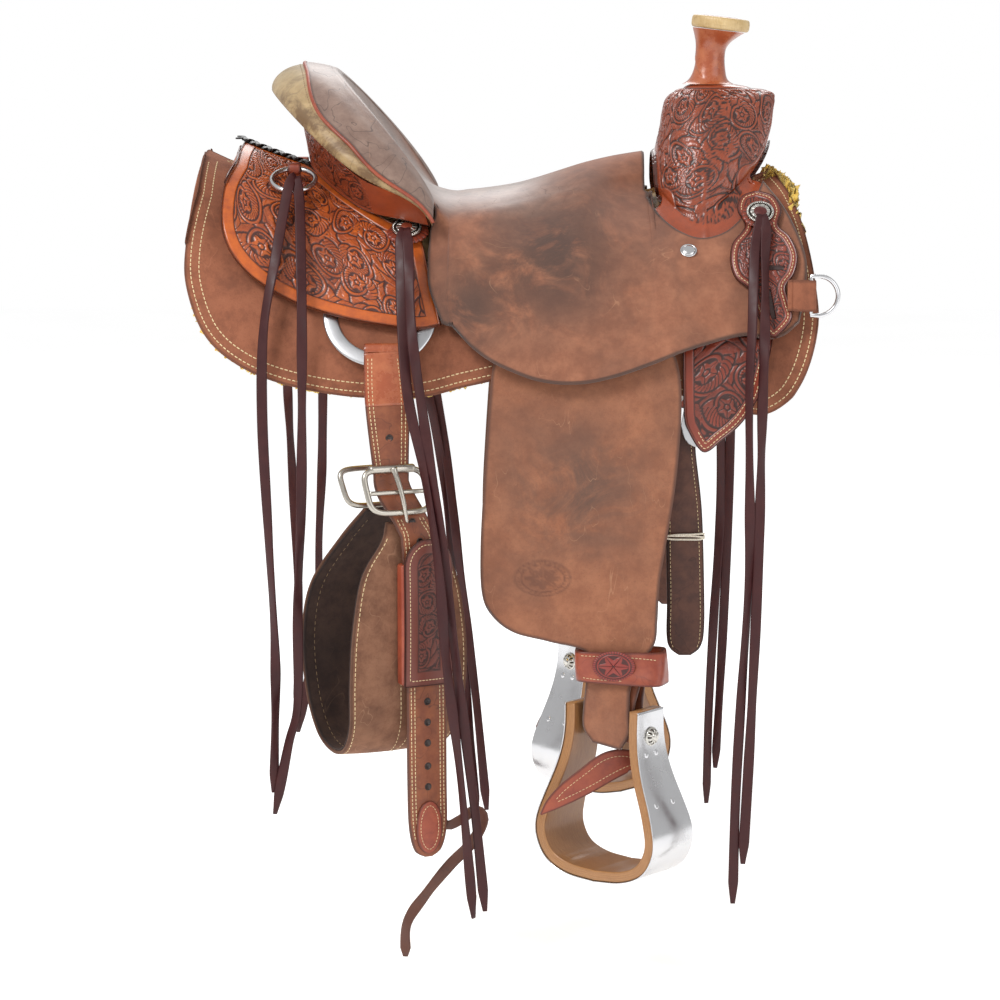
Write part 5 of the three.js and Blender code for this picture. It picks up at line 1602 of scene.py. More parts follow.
def rosette(name, centre, normal, radius, scallops, thick, material):
    """A round leather washer with a scalloped edge."""
    steps = 14
    across = np.linspace(0, 1, steps)
    profile = np.stack([across * radius, thick * np.sqrt(np.clip(1 - across**6, 0, 1))], axis=1)
    back = np.array([[radius * 0.98, -1.0], [0.01, -1.0]])
    profile = np.concatenate([profile, back])
    profile[0, 0] = 0.01
    sides = 160
    rings = turned(profile, centre, normal, sides)
    angle = full_turn(sides)
    edge = 1 + 0.055 * np.abs(np.cos(angle * scallops / 2))
    grow = np.clip(profile[:, 0] / radius, 0, 1) ** 3
    rings = centre + (rings - centre) * (1 + grow[:, None, None] * (edge - 1)[None, :, None])
    groove = np.abs(np.cos(angle * scallops / 2))[None] ** 0.5
    made = {
        "tool": 1 - (1 - groove) * smooth((across_pad(profile, radius) - 0.55) / 0.1),
        "plain": 0 * groove + np.zeros((len(profile), 1)),
        "border": np.full((len(profile), sides), 9.0),
    }
    piece = loft(name, rings, material, attributes=made)
    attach(piece, "saddle")
    return piece


def across_pad(profile, radius):
    return (profile[:, 0] / radius)[:, None]


def concho(name, centre, normal, radius, height, petals):
    """A domed silver disc with engraved petals and a beaded rim."""
    across = np.linspace(0.004, 1, 46)
    dome = height * (0.35 + 0.65 * np.sqrt(1 - 0.85 * across**2))
    profile = np.stack([across * radius, dome], axis=1)
    profile = np.concatenate([profile, [[radius * 1.0, 0.4], [radius * 0.9, -0.8], [0.05, -0.8]]])
    r = (profile[:, 0] / radius)[:, None]
    angle = full_turn(192)[None]
    leaf = np.abs(np.cos(angle * petals / 2)) ** 0.6 * smooth((r - 0.2) / 0.08) * smooth((0.74 - r) / 0.06)
    beads = (0.5 + 0.5 * np.cos(angle * 40)) * smooth((r - 0.84) / 0.03) * smooth((0.97 - r) / 0.03)
    hub = smooth((0.17 - r) / 0.04)
    tool = np.clip(leaf + beads + hub + smooth((r - 0.95) / 0.03), 0, 1)
    front = (np.arange(len(profile)) < 46)[:, None]
    rings = turned(profile, centre, normal, 192, lambda a, b: 0.9 * (tool - 1) * front)
    piece = loft(name, rings, SILVER, attributes={"tool": tool * front})
    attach(piece, "saddle")
    return piece


def button(name, centre, normal, profile, material, body, sides=64):
    rings = turned(rounded(profile, 2), centre, normal, sides)
    made = {k: np.full(rings.shape[:2], v) for k, v in (("border", 9.0), ("tool", 1.0), ("plain", 1.0))}
    piece = loft(name, rings, material, attributes=made)
    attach(piece, body)
    return piece


def tube(points, radius, sides=14, closed=False):
    """Rings round a line, with no twist along it."""
    points = np.asarray(points, float)
    if closed:
        tangent = unit(np.roll(points, -1, axis=0) - np.roll(points, 1, axis=0))
    else:
        tangent = unit(np.gradient(points, axis=0))
    normal = unit(np.cross(tangent[0], [0.31, 0.2, 0.93]))
    rings = []
    angle = full_turn(sides)
    size = np.broadcast_to(radius, len(points))
    for k, t in enumerate(tangent):
        normal = unit(normal - t * normal.dot(t))
        other = np.cross(t, normal)
        rings.append(points[k] + size[k] * (np.cos(angle)[:, None] * normal + np.sin(angle)[:, None] * other))
    return np.array(rings)


def bar_piece(name, points, radius, material, body, closed=False, sides=14):
    rings = tube(points, radius, sides, closed)
    piece = loft(name, rings, material, closed)
    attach(piece, body)
    return piece


def circle(centre, a, b, radius, count, wide=1.0):
    angle = full_turn(count)
    return centre + radius * (wide * np.cos(angle)[:, None] * a + np.sin(angle)[:, None] * b)


def keeper_top(x, z):
    return seat_top(x, z) + 7


KEEPER_LEFT = [
    (290, 62), (275, 56), (269, 42), (276, 24), (262, 6), (258.5, -14), (264, -32), (278, -44),
    (283, -60), (290, -78), (300, -95),
]
KEEPER_RIGHT = [
    (296, 62), (311, 57), (318, 43), (314, 26), (326, 14), (334, -6), (330, -26), (320, -41), (323, -57),
    (326, -76), (308, -97),
]
KEEPER_SLOTS = [((300, -20), (316, -20), 2.6), ((300.5, -46), (305.5, -73), 2.8)]


def segment_distance(x, z, a, b):
    a, b = np.array(a, float), np.array(b, float)
    d = b - a
    t = np.clip(((x - a[0]) * d[0] + (z - a[1]) * d[1]) / (d @ d), 0, 1)
    return np.hypot(x - a[0] - t * d[0], z - a[1] - t * d[1])


def make_keepers():
    base = rail_grid([KEEPER_LEFT, KEEPER_RIGHT], 220, 90, keeper_top)
    for word, side in SIDES.items():
        sheet = Sheet(on_side(base, side))
        height, made = tooling(sheet, 34, seed=4, band=9, depth=0.9, chart_of=base)
        slot = np.zeros(len(sheet.points))
        for a, b, r in KEEPER_SLOTS:
            slot = np.maximum(
                slot,
                smooth((r + 0.6 - segment_distance(sheet.points[:, 0], sheet.points[:, 2], a, b)) / 1.2),
            )
        height = height * (1 - slot) - 3.2 * slot
        # tool and plain go to 0 in the slots, so the openings take the darkest colour: painted shade inside
        # the slots
        made["tool"] = made["tool"] * (1 - slot)
        made["plain"] = made["plain"] * (1 - slot)
        piece = sheet.solid(f"latigo_keeper_{word}_looks", LEATHERS["panel"], COVER_THICK, height, made, 1.3)
        finish_piece(piece, "saddle", "tooled", f"latigo_keeper_{word}")
        rows = contour(sheet, 5)
        sew(f"latigo_keeper_stitches_{word}", sheet.tree(), rows, "saddle", pitch=4.2, length=3.1, wide=1.3)


def make_ornaments():
    for word, side in SIDES.items():
        centre, normal = disc_frame(294, 36, keeper_top, side, 1.6)
        rosette(f"front_rosette_{word}", centre, normal, 20, 20, 1.6, LEATHERS["panel"])
        front = concho(f"front_concho_{word}_looks", centre + normal * 2.2, normal, 15.5, 4.6, 10)
        stands_for(f"front_concho_{word}")
        spot = centre + normal * 4.4 + [0, 0, -1.5]
        knot = [(0.01, 5.2), (4, 5.0), (7.6, 3.4), (8.4, 0.4), (8.4, -0.6), (0.01, -0.6)]
        button(f"front_knot_{word}", spot, normal, knot, LEATHERS["lace"], "saddle")
        centre, normal = disc_frame(-106, 16, rear_jockey_top, side, 1.0)
        rosette(f"mid_rosette_{word}", centre, normal, 24, 24, 2.6, LEATHERS["panel"])
        middle = concho(f"mid_concho_{word}_looks", centre + normal * 3.4, normal, 17, 4.6, 12)
        stands_for(f"mid_concho_{word}")
        dome = [(0.01, 2.6), (4, 2.4), (6.6, 1.2), (7, -0.6), (0.01, -0.6)]
        button(f"mid_button_{word}", centre + normal * 6.6, normal, dome, LEATHERS["red_strap"], "saddle")
        make_rear_ring(word, side)
        centre, normal = disc_frame(213, -4, seat_top, side, 1)
        head = [(0.01, 3.2), (4.5, 3.0), (7.4, 1.6), (8, 0), (8, -1), (0.01, -1)]
        screw = button(f"seat_screw_{word}_looks", centre, normal, head, STEEL, "saddle")
        stands_for(f"seat_screw_{word}")
        washer = circle(centre, *frame_of(normal)[:2], 8.6, 64)
        bar_piece(f"seat_screw_washer_{word}", washer, 1.1, STEEL, "saddle", True, 10)


def make_rear_ring(word, side):
    centre, normal = disc_frame(-236, 64, rear_jockey_top, side)
    a, b, _ = frame_of(normal)
    rosette(f"rear_rosette_{word}", centre + normal * 0.8, normal, 15, 16, 1.8, LEATHERS["panel"])
    ring_centre = centre + normal * 11
    line = circle(ring_centre, a, b, 25, 120)
    ring = bar_piece(f"rear_ring_{word}_looks", line, 3, STEEL, "saddle", True, 18)
    stands_for(f"rear_ring_{word}")
    up = unit(np.array([0, 0, 1.0]) - normal * normal[2])
    across = np.cross(up, normal)
    hold = ring_centre + up * 25
    angle = np.linspace(0.2, 2 * np.pi - 0.2, 40)
    loop = hold + 6 * np.cos(angle)[:, None] * normal + 6 * np.sin(angle)[:, None] * up
    rings = strap_rings(loop, np.tile(across, (40, 1)), 14, 2.2)
    piece = strap(f"rear_ring_loop_{word}", rings, LEATHERS["red_strap"], 14)
    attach(piece, "saddle")


# ---------- straps ----------
def strap_rings(path, wide, width, thickness, points=20):
    """Rings of a flat strap whose width runs along wide at each point."""
    tangent = unit(np.gradient(path, axis=0))
    wide = unit(wide - tangent * (wide * tangent).sum(axis=1, keepdims=True))
    thin = np.cross(tangent, wide)
    section = flat_section(1, 1, points, 0.35)
    w = np.broadcast_to(width, len(path))[:, None, None]
    t = np.broadcast_to(thickness, len(path))[:, None, None]
    return path[:, None] + section[None, :, :1] * wide[:, None] * w + section[None, :, 1:] * thin[:, None] * t


def strap(name, rings, material, width):
    """A strap's skin, whose material is told how far each place is from the strap's edges."""
    across = np.abs(flat_section(1, 1, rings.shape[1], 0.35)[:, 0])
    w = np.broadcast_to(width, len(rings))
    return loft(name, rings, material, attributes={"border": (0.5 - across)[None] * w[:, None]})


def skin_tree(rings):
    points, faces = loft_mesh(rings)
    return tree_of(points, oriented(points, faces))


def edge_rows(path, wide, width, inset, push):
    """Lines along both edges of a strap, pushed out of its face."""
    half = (np.broadcast_to(width, len(path)) / 2 - inset)[:, None]
    return [path + wide * half * sign + push for sign in (-1, 1)]


def hole_shadows(name, spots, normals, radius, body):
    """Punched openings: cups with a pressed rim, coloured dark as painted shade inside each hole."""
    skins = []
    for spot, normal in zip(spots, normals):
        profile = [
            (radius * 1.35, 0.05), (radius * 1.15, 0.35), (radius, 0.2), (radius * 0.9, -0.5), (0.02, -0.7),
        ]
        skins.append(loft_mesh(turned(profile[::-1], spot, normal, 20)))
    points, faces = merged(skins)
    # the near-black lace leather on these cups is painted shade for the depth of each hole
    piece = make_mesh(name, points, faces, LEATHERS["black_lace"], {"border": np.full(len(points), 5.0)})
    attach(piece, body)


# ---------- front rigging ----------
def rigging_rails():
    upper = [(205, -62), (222, -60), (243, -58), (266, -56), (290, -56), (312, -58)]
    middle = [(205, -140), (213, -148), (238, -150), (262, -148), (284, -142), (304, -110)]
    lower = [(206, -185), (210, -200), (228, -226), (250, -212), (272, -192), (292, -158)]
    return [upper, middle, lower]


PANEL_REACH = 26.5
PLATE_REACH = 23


def make_front_rigging():
    base = rail_grid([[(x, z) for x, z in rail] for rail in rigging_rails()], 130, 180, flat(PANEL_REACH))
    plate = rail_grid(
        [
            [(216, -90), (224, -88), (234, -88), (248, -90)],
            [(203, -196), (209, -214), (224, -220), (238, -200)],
        ],
        70, 130, flat(PLATE_REACH),
    )
    sewn = lambda p: (p[:, 2] < -75) & (p[:, 0] > 222)
    for word, side in SIDES.items():
        sheet = Sheet(on_side(base, side))
        height, made = tooling(sheet, 56, seed=15, band=12, depth=1.2, chart_of=base)
        piece = sheet.solid(f"front_rigging_{word}_looks", LEATHERS["panel"], 3, height, made, 1.1)
        finish_piece(piece, "saddle", "tooled", f"front_rigging_{word}")
        rows = [run for d in (4.5, 9.5) for run in contour(sheet, d, sewn)]
        sew(f"front_rigging_stitches_{word}", sheet.tree(), rows, "saddle", pitch=4.4, length=3.2, wide=1.3)
        for k, (x, z) in enumerate([(217, -186), (272, -172)]):
            centre, normal = disc_frame(x, z, flat(PANEL_REACH), side, 0.2)
            rivet = [(0.01, 2.2), (2.6, 2.0), (4.2, 1.0), (4.6, -0.5), (0.01, -0.5)]
            button(f"rigging_rivet_{word}_{k + 1}", centre, normal, rivet, BRASS, "saddle", 40)
        low = Sheet(on_side(plate, side))
        tin = low.solid(f"rigging_plate_{word}_looks", BRUSHED, 1.6, rim=0.6)
        finish_piece(tin, "saddle", "steel", f"rigging_plate_{word}")
        centre, normal = disc_frame(213, -207, flat(PLATE_REACH), side, 0.1)
        hole_shadows(f"rigging_hole_shadow_{word}", [centre], [normal], 5.5, "saddle")


# ---------- flank ring, billets and cinch ----------
CINCH_TURN = math.radians(30)
CINCH_ACROSS = np.array([math.cos(CINCH_TURN), -math.sin(CINCH_TURN), 0])
CINCH_BACK = np.array([-math.sin(CINCH_TURN), -math.cos(CINCH_TURN), 0])


def cinch_spot(s, away, z):
    """A point beside the cinch: s across the strap, away behind the buckle."""
    s, away, z = np.broadcast_arrays(np.asarray(s, float), np.asarray(away, float), np.asarray(z, float))
    base = np.stack([np.full(s.shape, -104.0), np.full(s.shape, 246.0), z], axis=-1)
    return base + s[..., None] * CINCH_ACROSS - away[..., None] * CINCH_BACK


def make_flank_rings():
    for word, side in SIDES.items():
        centre, normal = disc_frame(-135, -74, flat(24), side)
        angle = full_turn(24)
        c, s = np.cos(angle), np.sin(angle)
        section = np.stack([55.5 + 8.4 * squarer(c, 0.7), 2.2 * squarer(s, 0.7)], axis=1)
        rings = np.swapaxes(turned(section, centre, normal, 160), 0, 1)
        piece = loft(f"flank_ring_{word}_looks", rings, BRUSHED, True)
        finish_piece(piece, "saddle", "steel", f"flank_ring_{word}")


UPPER_BILLET = [
    (-112, -129, 46, 232, 0), (-165, -126, 50, 236, 0.1), (-240, -122, 42, 246, 0.6),
    (-264, -119, 42, 250, 0.8),
]
LOWER_BILLET = [
    (-300, 0, 42, 10), (-330, 8, 46, 15), (-440, 14, 50, 16), (-482, 15, 50, 16), (-600, 18, 50, 12),
    (-650, 19, 48, 12), (-676, 19, 34, 12), (-684, 19, 10, 12),
]


def billet_line():
    """The flank billet as a middle line, the way across it and its width."""
    rows = [(x, y, z, wide, turned_by) for z, x, wide, y, turned_by in UPPER_BILLET]
    for z, s, wide, away in LOWER_BILLET:
        rows.append((*cinch_spot(s, away, z), wide, 1))
    fine = evenly(rows, 3)
    turn = CINCH_TURN * fine[:, 4]
    wide = np.stack([np.cos(turn), -np.sin(turn), 0 * turn], axis=1)
    return fine[:, :3], wide, fine[:, 3]


def make_flank_billet():
    path, wide, width = billet_line()
    out = unit(np.cross(wide, [0, 0, -1]))
    out *= np.sign(out[:, 1:2])
    parts = [
        ("flank_billet_top", path[:, 2] > -172, LEATHERS["orange"], 5.4),
        ("flank_billet_tail", path[:, 2] < -164, LEATHERS["strap"], 4.6),
    ]
    for name, keep, material, thick in parts:
        w = width[keep]
        rings = mirror(strap_rings(path[keep], wide[keep], w, thick, STRAP_SIDES))
        piece = strap(name, rings, material, w)
        finish_piece(piece, "flank_rigging", "tooled", "flank_billet_right")
    tree = skin_tree(mirror(strap_rings(path, wide, width, 4.8, STRAP_SIDES)))
    rows = []
    for low, high in ((-238, -116), (-342, -292), (-664, -486)):
        keep = (path[:, 2] > low) & (path[:, 2] < high)
        for inset in (4.5, 9):
            rows += [mirror(r) for r in edge_rows(path[keep], wide[keep], width[keep], inset, out[keep] * 6)]
    sew("flank_billet_stitches", tree, rows, "flank_rigging", pitch=4.4, length=3.2, wide=1.35)
    spots, normals = [], []
    for z in (-206, -300, -322, -503, -528, -553, -578, -603, -628):
        k = int(np.argmin(np.abs(path[:, 2] - z)))
        spots.append(mirror(path[k] + out[k] * 2.5))
        normals.append(mirror(out[k]))
    hole_shadows("flank_billet_holes", spots, normals, PUNCH, "flank_rigging")
    make_billet_top_loop(path, wide, out)
    make_billet_tip()


def make_billet_top_loop(path, wide, out):
    """The billet's fold over its ring, with a short tail below it."""
    angle = np.linspace(0, np.pi, 24)
    top = path[0]
    lift = np.array([0, 0, 1.0]) * 7 * np.sin(angle)[:, None]
    line = top + lift + out[0] * (-6 + 6 * np.cos(angle))[:, None]
    line = np.concatenate([line, line[-1:] + np.array([[0, 0, -14.0]])])
    rings = mirror(strap_rings(line, np.tile(wide[0], (len(line), 1)), 46, 4.6, STRAP_SIDES))
    piece = strap("flank_billet_fold", rings, LEATHERS["orange"], 46)
    finish_piece(piece, "flank_rigging", "tooled")


def make_billet_tip():
    """A pointed oval of red leather sewn on the billet's end."""
    t = np.linspace(-1, 1, 60)
    half = 16 * np.sqrt(np.clip(1 - np.abs(t) ** 2.4, 0, 1)) + 0.4
    z = -650 - 30 * t
    centre = cinch_spot(np.full(60, 19.0), np.full(60, 15.4), z)
    rings = mirror(strap_rings(centre, np.tile(CINCH_ACROSS, (60, 1)), 2 * half, 2.2, STRAP_SIDES))
    piece = strap("flank_billet_tip", rings, LEATHERS["red_strap"], 2 * half)
    finish_piece(piece, "flank_rigging", "tooled")
    tree = skin_tree(rings)
    turn = np.linspace(0, 2 * np.pi, 90)
    ring = mirror(cinch_spot(19 + 11.5 * np.cos(turn), np.full(90, 20.0), -650 + 25 * np.sin(turn)))
    sew("flank_billet_tip_stitches", tree, [ring], "flank_rigging", pitch=3.8, length=2.6, wide=0.9)


CINCH_SPINE = [
    (2, -300, 52), (0, -322, 66), (-3, -360, 118), (-4, -420, 142), (-2, -480, 148), (8, -530, 140),
    (34, -560, 132), (70, -566, 128), (104, -550, 130), (122, -505, 140), (124, -440, 148),
    (112, -380, 136), (84, -328, 90), (52, -290, 54),
]
CINCH_NARROWING = 112 / 120


def cinch_layer(grid, lift):
    """One layer of the cinch, moved out from the grid by lift."""
    points, faces = grid.reshape(-1, 3), cells(*grid.shape[:2])
    normals = vertex_normals(points, faces)
    if (normals * (points - cinch_spot(0, -60, -430))).sum() < 0:
        faces = faces[:, ::-1]
        normals = -normals
    return Sheet.made_of(mirror(points + normals * lift), faces[:, ::-1])


def make_cinch():
    """The flank cinch hangs folded double: a rough outer strap with a thin lining inside the fold."""
    fine = evenly(np.array(CINCH_SPINE, float), 2.5)
    back, z, width = fine.T
    line = cinch_spot(np.zeros(len(fine)), -back * CINCH_NARROWING, z)
    across = np.linspace(-0.5, 0.5, 64)
    cup = 3.0 * (1 - (2 * across) ** 2)
    outside = np.cross(unit(np.gradient(line, axis=0)), CINCH_ACROSS)
    grid = line[:, None] + across[None, :, None] * width[:, None, None] * CINCH_ACROSS
    grid = grid - outside[:, None] * cup[None, :, None]

    def seam(half):
        """A line along each side of the strap, half away from its middle."""
        sides = [line + CINCH_ACROSS * (sign * half)[:, None] for sign in (-1, 1)]
        return [mirror(side[8:-8]) for side in sides]

    outer = cinch_layer(grid, 2.5)
    piece = outer.solid("flank_cinch_outer", LEATHERS["cinch"], COVER_THICK, rim=0.9)
    finish_piece(piece, "flank_rigging", "roughout", "flank_cinch")
    rows = []
    for inset in (5, 62):
        rows += seam((1 - 2 * inset / np.maximum(width, 2 * inset + 6)) * width / 2)
    sew("flank_cinch_stitches", outer.tree(), rows, "flank_rigging", pitch=5.6, length=4.0, wide=1.3)
    inner = cinch_layer(grid, -1.7)
    piece = inner.solid("flank_cinch_lining", LEATHERS["lining"], 2.4, rim=0.9)
    finish_piece(piece, "flank_rigging", "dark", "flank_cinch")
    flipped = tree_of(inner.points - inner.normals * 2.6, [inner.faces[:, ::-1]])
    rows = seam(width / 2 - 14)
    sew(
        "flank_cinch_lining_stitches", flipped, rows, "flank_rigging", pitch=7.5, length=4.4, wide=1.0,
        material=LACE_THREAD,
    )


def make_cinch_keeper():
    steps = 96
    angle = full_turn(steps)
    c, s = np.cos(angle), np.sin(angle)
    out_s = squarer(c, 0.35)
    out_a = squarer(s, 0.35)
    rings = []
    for grow, z in ((0.2, -480), (0.2, -348), (1.6, -345.6), (2.9, -348), (2.9, -480), (1.6, -482.4)):
        rings.append(cinch_spot(14 + out_s * (30 + grow), 16 + out_a * (5 + grow), np.full(steps, float(z))))
    rings = mirror(np.array(rings))
    made = {"border": np.full(rings.shape[:2], 5.0)}
    sleeve = loft("cinch_keeper_sleeve", rings, LEATHERS["red_strap"], True, made)
    finish_piece(sleeve, "flank_rigging", "tooled", "cinch_keeper")
    z = np.linspace(-485, -318, 170)
    arch = np.sqrt(np.clip(1 - ((z + 350) / 32.5) ** 2, 0.0004, 1))
    half = np.where(z > -350, 31 * arch, 31 + 0.6 * np.sin((z + 350) / 40))
    across = np.linspace(-1, 1, 64)
    bow = 24.6 + 1.2 * (1 - across**2)
    grid = cinch_spot(
        14 + across[None] * half[:, None], np.tile(bow, (len(z), 1)), np.repeat(z[:, None], 64, 1),
    )
    sheet = flat_sheet(mirror(grid), mirror(-CINCH_BACK))
    height, made = tooling(sheet, 34, seed=12, band=17, depth=0.7)
    piece = sheet.solid("cinch_keeper_face", LEATHERS["dark_panel"], 2.4, height, made, 1.0)
    finish_piece(piece, "flank_rigging", "tooled")
    rows = contour(sheet, 7)
    sew("cinch_keeper_stitches", sheet.tree(), rows, "flank_rigging", pitch=4.2, length=3.0, wide=1.2)


def flat_sheet(grid, outward):
    """A sheet from a grid whose outer face looks along outward."""
    points, faces = grid.reshape(-1, 3), cells(*grid.shape[:2])
    if (vertex_normals(points, faces) @ np.asarray(outward)).sum() < 0:
        faces = faces[:, ::-1]
    sheet = Sheet.made_of(points, faces)
    sheet.grid = grid
    return sheet


def buckle_frame(centre, half_wide, half_tall, across, up):
    """A rounded oblong outline for a buckle."""
    angle = (np.arange(120) + 0.5) / 120 * 2 * np.pi
    c, s = np.cos(angle), np.sin(angle)
    a = squarer(c, 0.45) * half_wide
    b = squarer(s, 0.45) * half_tall
    return centre + a[:, None] * across + b[:, None] * up


def make_buckles():
    wide = np.array([math.cos(0.42), -math.sin(0.42), 0])
    up = unit(np.array([-0.25, -0.22, 1]))
    centre = np.array([-114.5, 261.5, -264])
    frame_line = mirror(buckle_frame(centre, 36, 25, wide, up))
    front = bar_piece("cinch_buckle_front_looks", frame_line, 3.4, NICKEL, "flank_rigging", True, 16)
    stands_for("cinch_buckle_front")
    roller = mirror(centre + up * 25 + wide * np.linspace(-27, 27, 30)[:, None])
    bar_piece(
        "cinch_buckle_roller", roller, np.where(np.abs(np.linspace(-1, 1, 30)) > 0.97, 3.8, 4.9), NICKEL,
        "flank_rigging",
    )
    out = unit(np.cross(wide, up))
    out = out * np.sign(out[1])
    bar = mirror(centre + up * -2 + out * 1.5 + wide * np.linspace(-34, 34, 30)[:, None])
    bar_piece("cinch_buckle_bar", bar, 2.6, NICKEL, "flank_rigging")
    t = np.linspace(0, 1, 30)
    bow = 5 + 5 * np.sin(np.pi * t) - 3 * t
    tongue = centre + up * (25 - 62 * t)[:, None] + out * bow[:, None] + wide * (2 * t)[:, None]
    size = np.interp(t, [0, 0.1, 0.7, 1], [4.4, 3.0, 2.6, 1.5])
    bar_piece("cinch_buckle_tongue", mirror(tongue), size, NICKEL, "flank_rigging")
    up_back = unit(np.array([-0.3, -0.3, 0.9]))
    line = mirror(buckle_frame(np.array([-146, 224, -264]), 34, 22, CINCH_ACROSS, up_back))
    back = bar_piece("cinch_buckle_back_looks", line, 3.2, NICKEL, "flank_rigging", True, 16)
    stands_for("cinch_buckle_back")


OFF_BILLET = [
    (-200, 208, 24, 207), (-230, 206, 28, 206), (-300, 208, 40, 200), (-396, 211, 42, 190),
    (-440, 211, 42, 187), (-456, 211, 34, 186), (-464, 211, 14, 186),
]
LATIGO = [
    (-200, 208, 24, 207), (-230, 206, 28, 206), (-300, 208, 38, 199), (-400, 210, 40, 189),
    (-452, 210, 40, 186), (-468, 210, 16, 186),
]


def make_hanging_strap(name, rows, side, body, node, plies, thick):
    fine = evenly([(x, y, z, wide) for z, x, wide, y in rows], 3)
    path, width = fine[:, :3], fine[:, 3]
    wide = np.tile([1.0, 0, 0], (len(path), 1))
    for k in range(plies):
        away = (k - (plies - 1) / 2) * thick
        shift = np.array([1.5 * k, away, 3.0 * k])
        rings = strap_rings(path + shift, wide, width - 2 * k, thick - 0.4, STRAP_SIDES)
        rings[..., 1] *= side
        piece = strap(f"{name}_{k + 1}", rings, LEATHERS["dark"], width)
        finish_piece(piece, body, "dark", node)
    front = path + np.array([0, plies * thick / 2, 0])
    out = np.tile([0, 1.0, 0], (len(path), 1))
    rings = strap_rings(path, wide, width, plies * thick, STRAP_SIDES)
    rings[..., 1] *= side
    rows_of = edge_rows(path, wide, width, 4, out * 8)
    keep = path[:, 2] > rows[-2][0]
    if side < 0:
        rows_of = [mirror(r) for r in rows_of]
    sew(
        f"{name}_stitches", skin_tree(rings), [r[keep] for r in rows_of], body, pitch=4.6, length=3.0,
        wide=0.9
    )
    spots = [front[int(np.argmin(np.abs(path[:, 2] - z)))] for z in (-262, -290, -350, -378, -406, -434)]
    turn = np.array([1, side, 1])
    hole_shadows(
        f"{name}_holes", [s * turn for s in spots], [np.array([0, float(side), 0])] * len(spots), PUNCH,
        body
    )


def make_billet_tie():
    """A few turns of white cord that hold the off billet's plies together."""
    t = np.linspace(0, 3 * 2 * np.pi, 260)
    c, s = np.cos(t), np.sin(t)
    x = 208.8 + squarer(c, 0.4) * 22.4
    y = 197.2 + squarer(s, 0.5) * 6.9
    z = -322 - t * 0.32 + 1.2 * np.sin(t * 1.7)
    bar_piece("off_billet_tie", np.stack([x, -y, z], axis=1), 1.1, WHITE_CORD, "off_billet", sides=8)


# ---------- dees ----------
DEE_CHAPE = 35
HOBBLE_Z = -467


def make_dees():
    for word, side in SIDES.items():
        x, y, high, low = 347, 222.5, -28, -72
        middle, half = (high + low) / 2, (high - low) / 2
        path = [(x, y, low + (high - low) * t) for t in np.linspace(0, 1, 10)]
        for angle in np.linspace(np.pi / 2, -np.pi / 2, 42)[1:-1]:
            path.append((x + 8 + 22 * math.cos(angle), y, middle + half * math.sin(angle)))
        line = np.array(path) * [1, side, 1]
        dee = bar_piece(f"breast_dee_{word}_looks", line, 2.6, STEEL, f"breast_dee_{word}", True, 16)
        stands_for(f"breast_dee_{word}")
        angle = np.linspace(-0.4, np.pi + 0.4, 26)
        fold = np.stack([x + 4.6 * np.sin(angle), y + 4.6 * np.cos(angle), np.full(26, middle)], axis=1)
        tail = [[x - 26, y - 3.6, middle], [x - 14, y - 4.4, middle]]
        outer = [[x - 3, y + 4.7, middle], [x - 12, y + 0.5, middle], [x - 20, y - 3.0, middle]]
        chape = np.array(outer[::-1] + fold.tolist() + tail[::-1]) * [1, side, 1]
        line = evenly(chape, 1.5)
        rings = strap_rings(line, np.tile([0, 0, 1.0], (len(line), 1)), DEE_CHAPE, 2.2, 20)
        piece = strap(f"dee_chape_{word}", rings, LEATHERS["skirt"], DEE_CHAPE)
        finish_piece(piece, "saddle", "roughout")


# ---------- fenders and stirrups ----------
STIRRUP_TURN = math.radians(38)
TAIL_X = 118.5
BOLT = np.array([128.996, 227.07, -543.0])
BOLT_HALF = 52.2
BOLT_AXIS = np.array([math.cos(STIRRUP_TURN), math.sin(STIRRUP_TURN), 0])
BOLT_OUT = np.array([-math.sin(STIRRUP_TURN), math.cos(STIRRUP_TURN), 0])
FENDER_LEFT = [
    (86, -88), (45, -92), (15, -102), (-6, -123), (-12, -170), (-18, -255), (-22, -335), (-20, -385),
    (-8, -410), (16, -428), (56, -439), (97, -452), (96, -490), (93.5, -515), (93.5, -540), (104, -556),
]
FENDER_RIGHT = [
    (114, -88), (150, -92), (182, -101), (198, -123), (203, -170), (197, -255), (185, -335), (180, -365),
    (178, -392), (177, -415), (174, -440), (158, -462), (146, -488), (143.5, -515), (143.5, -540),
    (134, -560),
]


def fender_inner_y(z):
    z = np.asarray(z, float)
    lean = lambda at: 226 + 0.2126 * (HEM_Z - at)
    t = np.clip((-197 - z) / 48, 0, 1)
    bend = lean(-197) + 0.2126 * 24 * (2 * t - t * t)
    return np.where(z > -197, lean(z), bend)


def stirrup_twist(z):
    return np.tan(STIRRUP_TURN * smooth((-430 - np.asarray(z, float)) / 100))


def fender_grid(columns, rows):
    left, right = spline(FENDER_LEFT, rows), spline(FENDER_RIGHT, rows)
    t = np.linspace(0, 1, columns + 1)[None, :, None]
    flat_grid = lerp(left[:, None], right[:, None], t)
    x, z = flat_grid[..., 0], flat_grid[..., 1]
    y = fender_inner_y(z) + 5 + (x - TAIL_X) * stirrup_twist(z)
    return np.stack([x, y, z], axis=-1)


def tail_spot(s, away, z):
    """A point on the twisting stirrup leather, with the ways across and out of it there."""
    turn = np.arctan(stirrup_twist(z))
    across = np.array([np.cos(turn), np.sin(turn), 0])
    out = np.array([-np.sin(turn), np.cos(turn), 0])
    return np.array([TAIL_X, float(fender_inner_y(z)), z]) + across * s + out * away, across, out


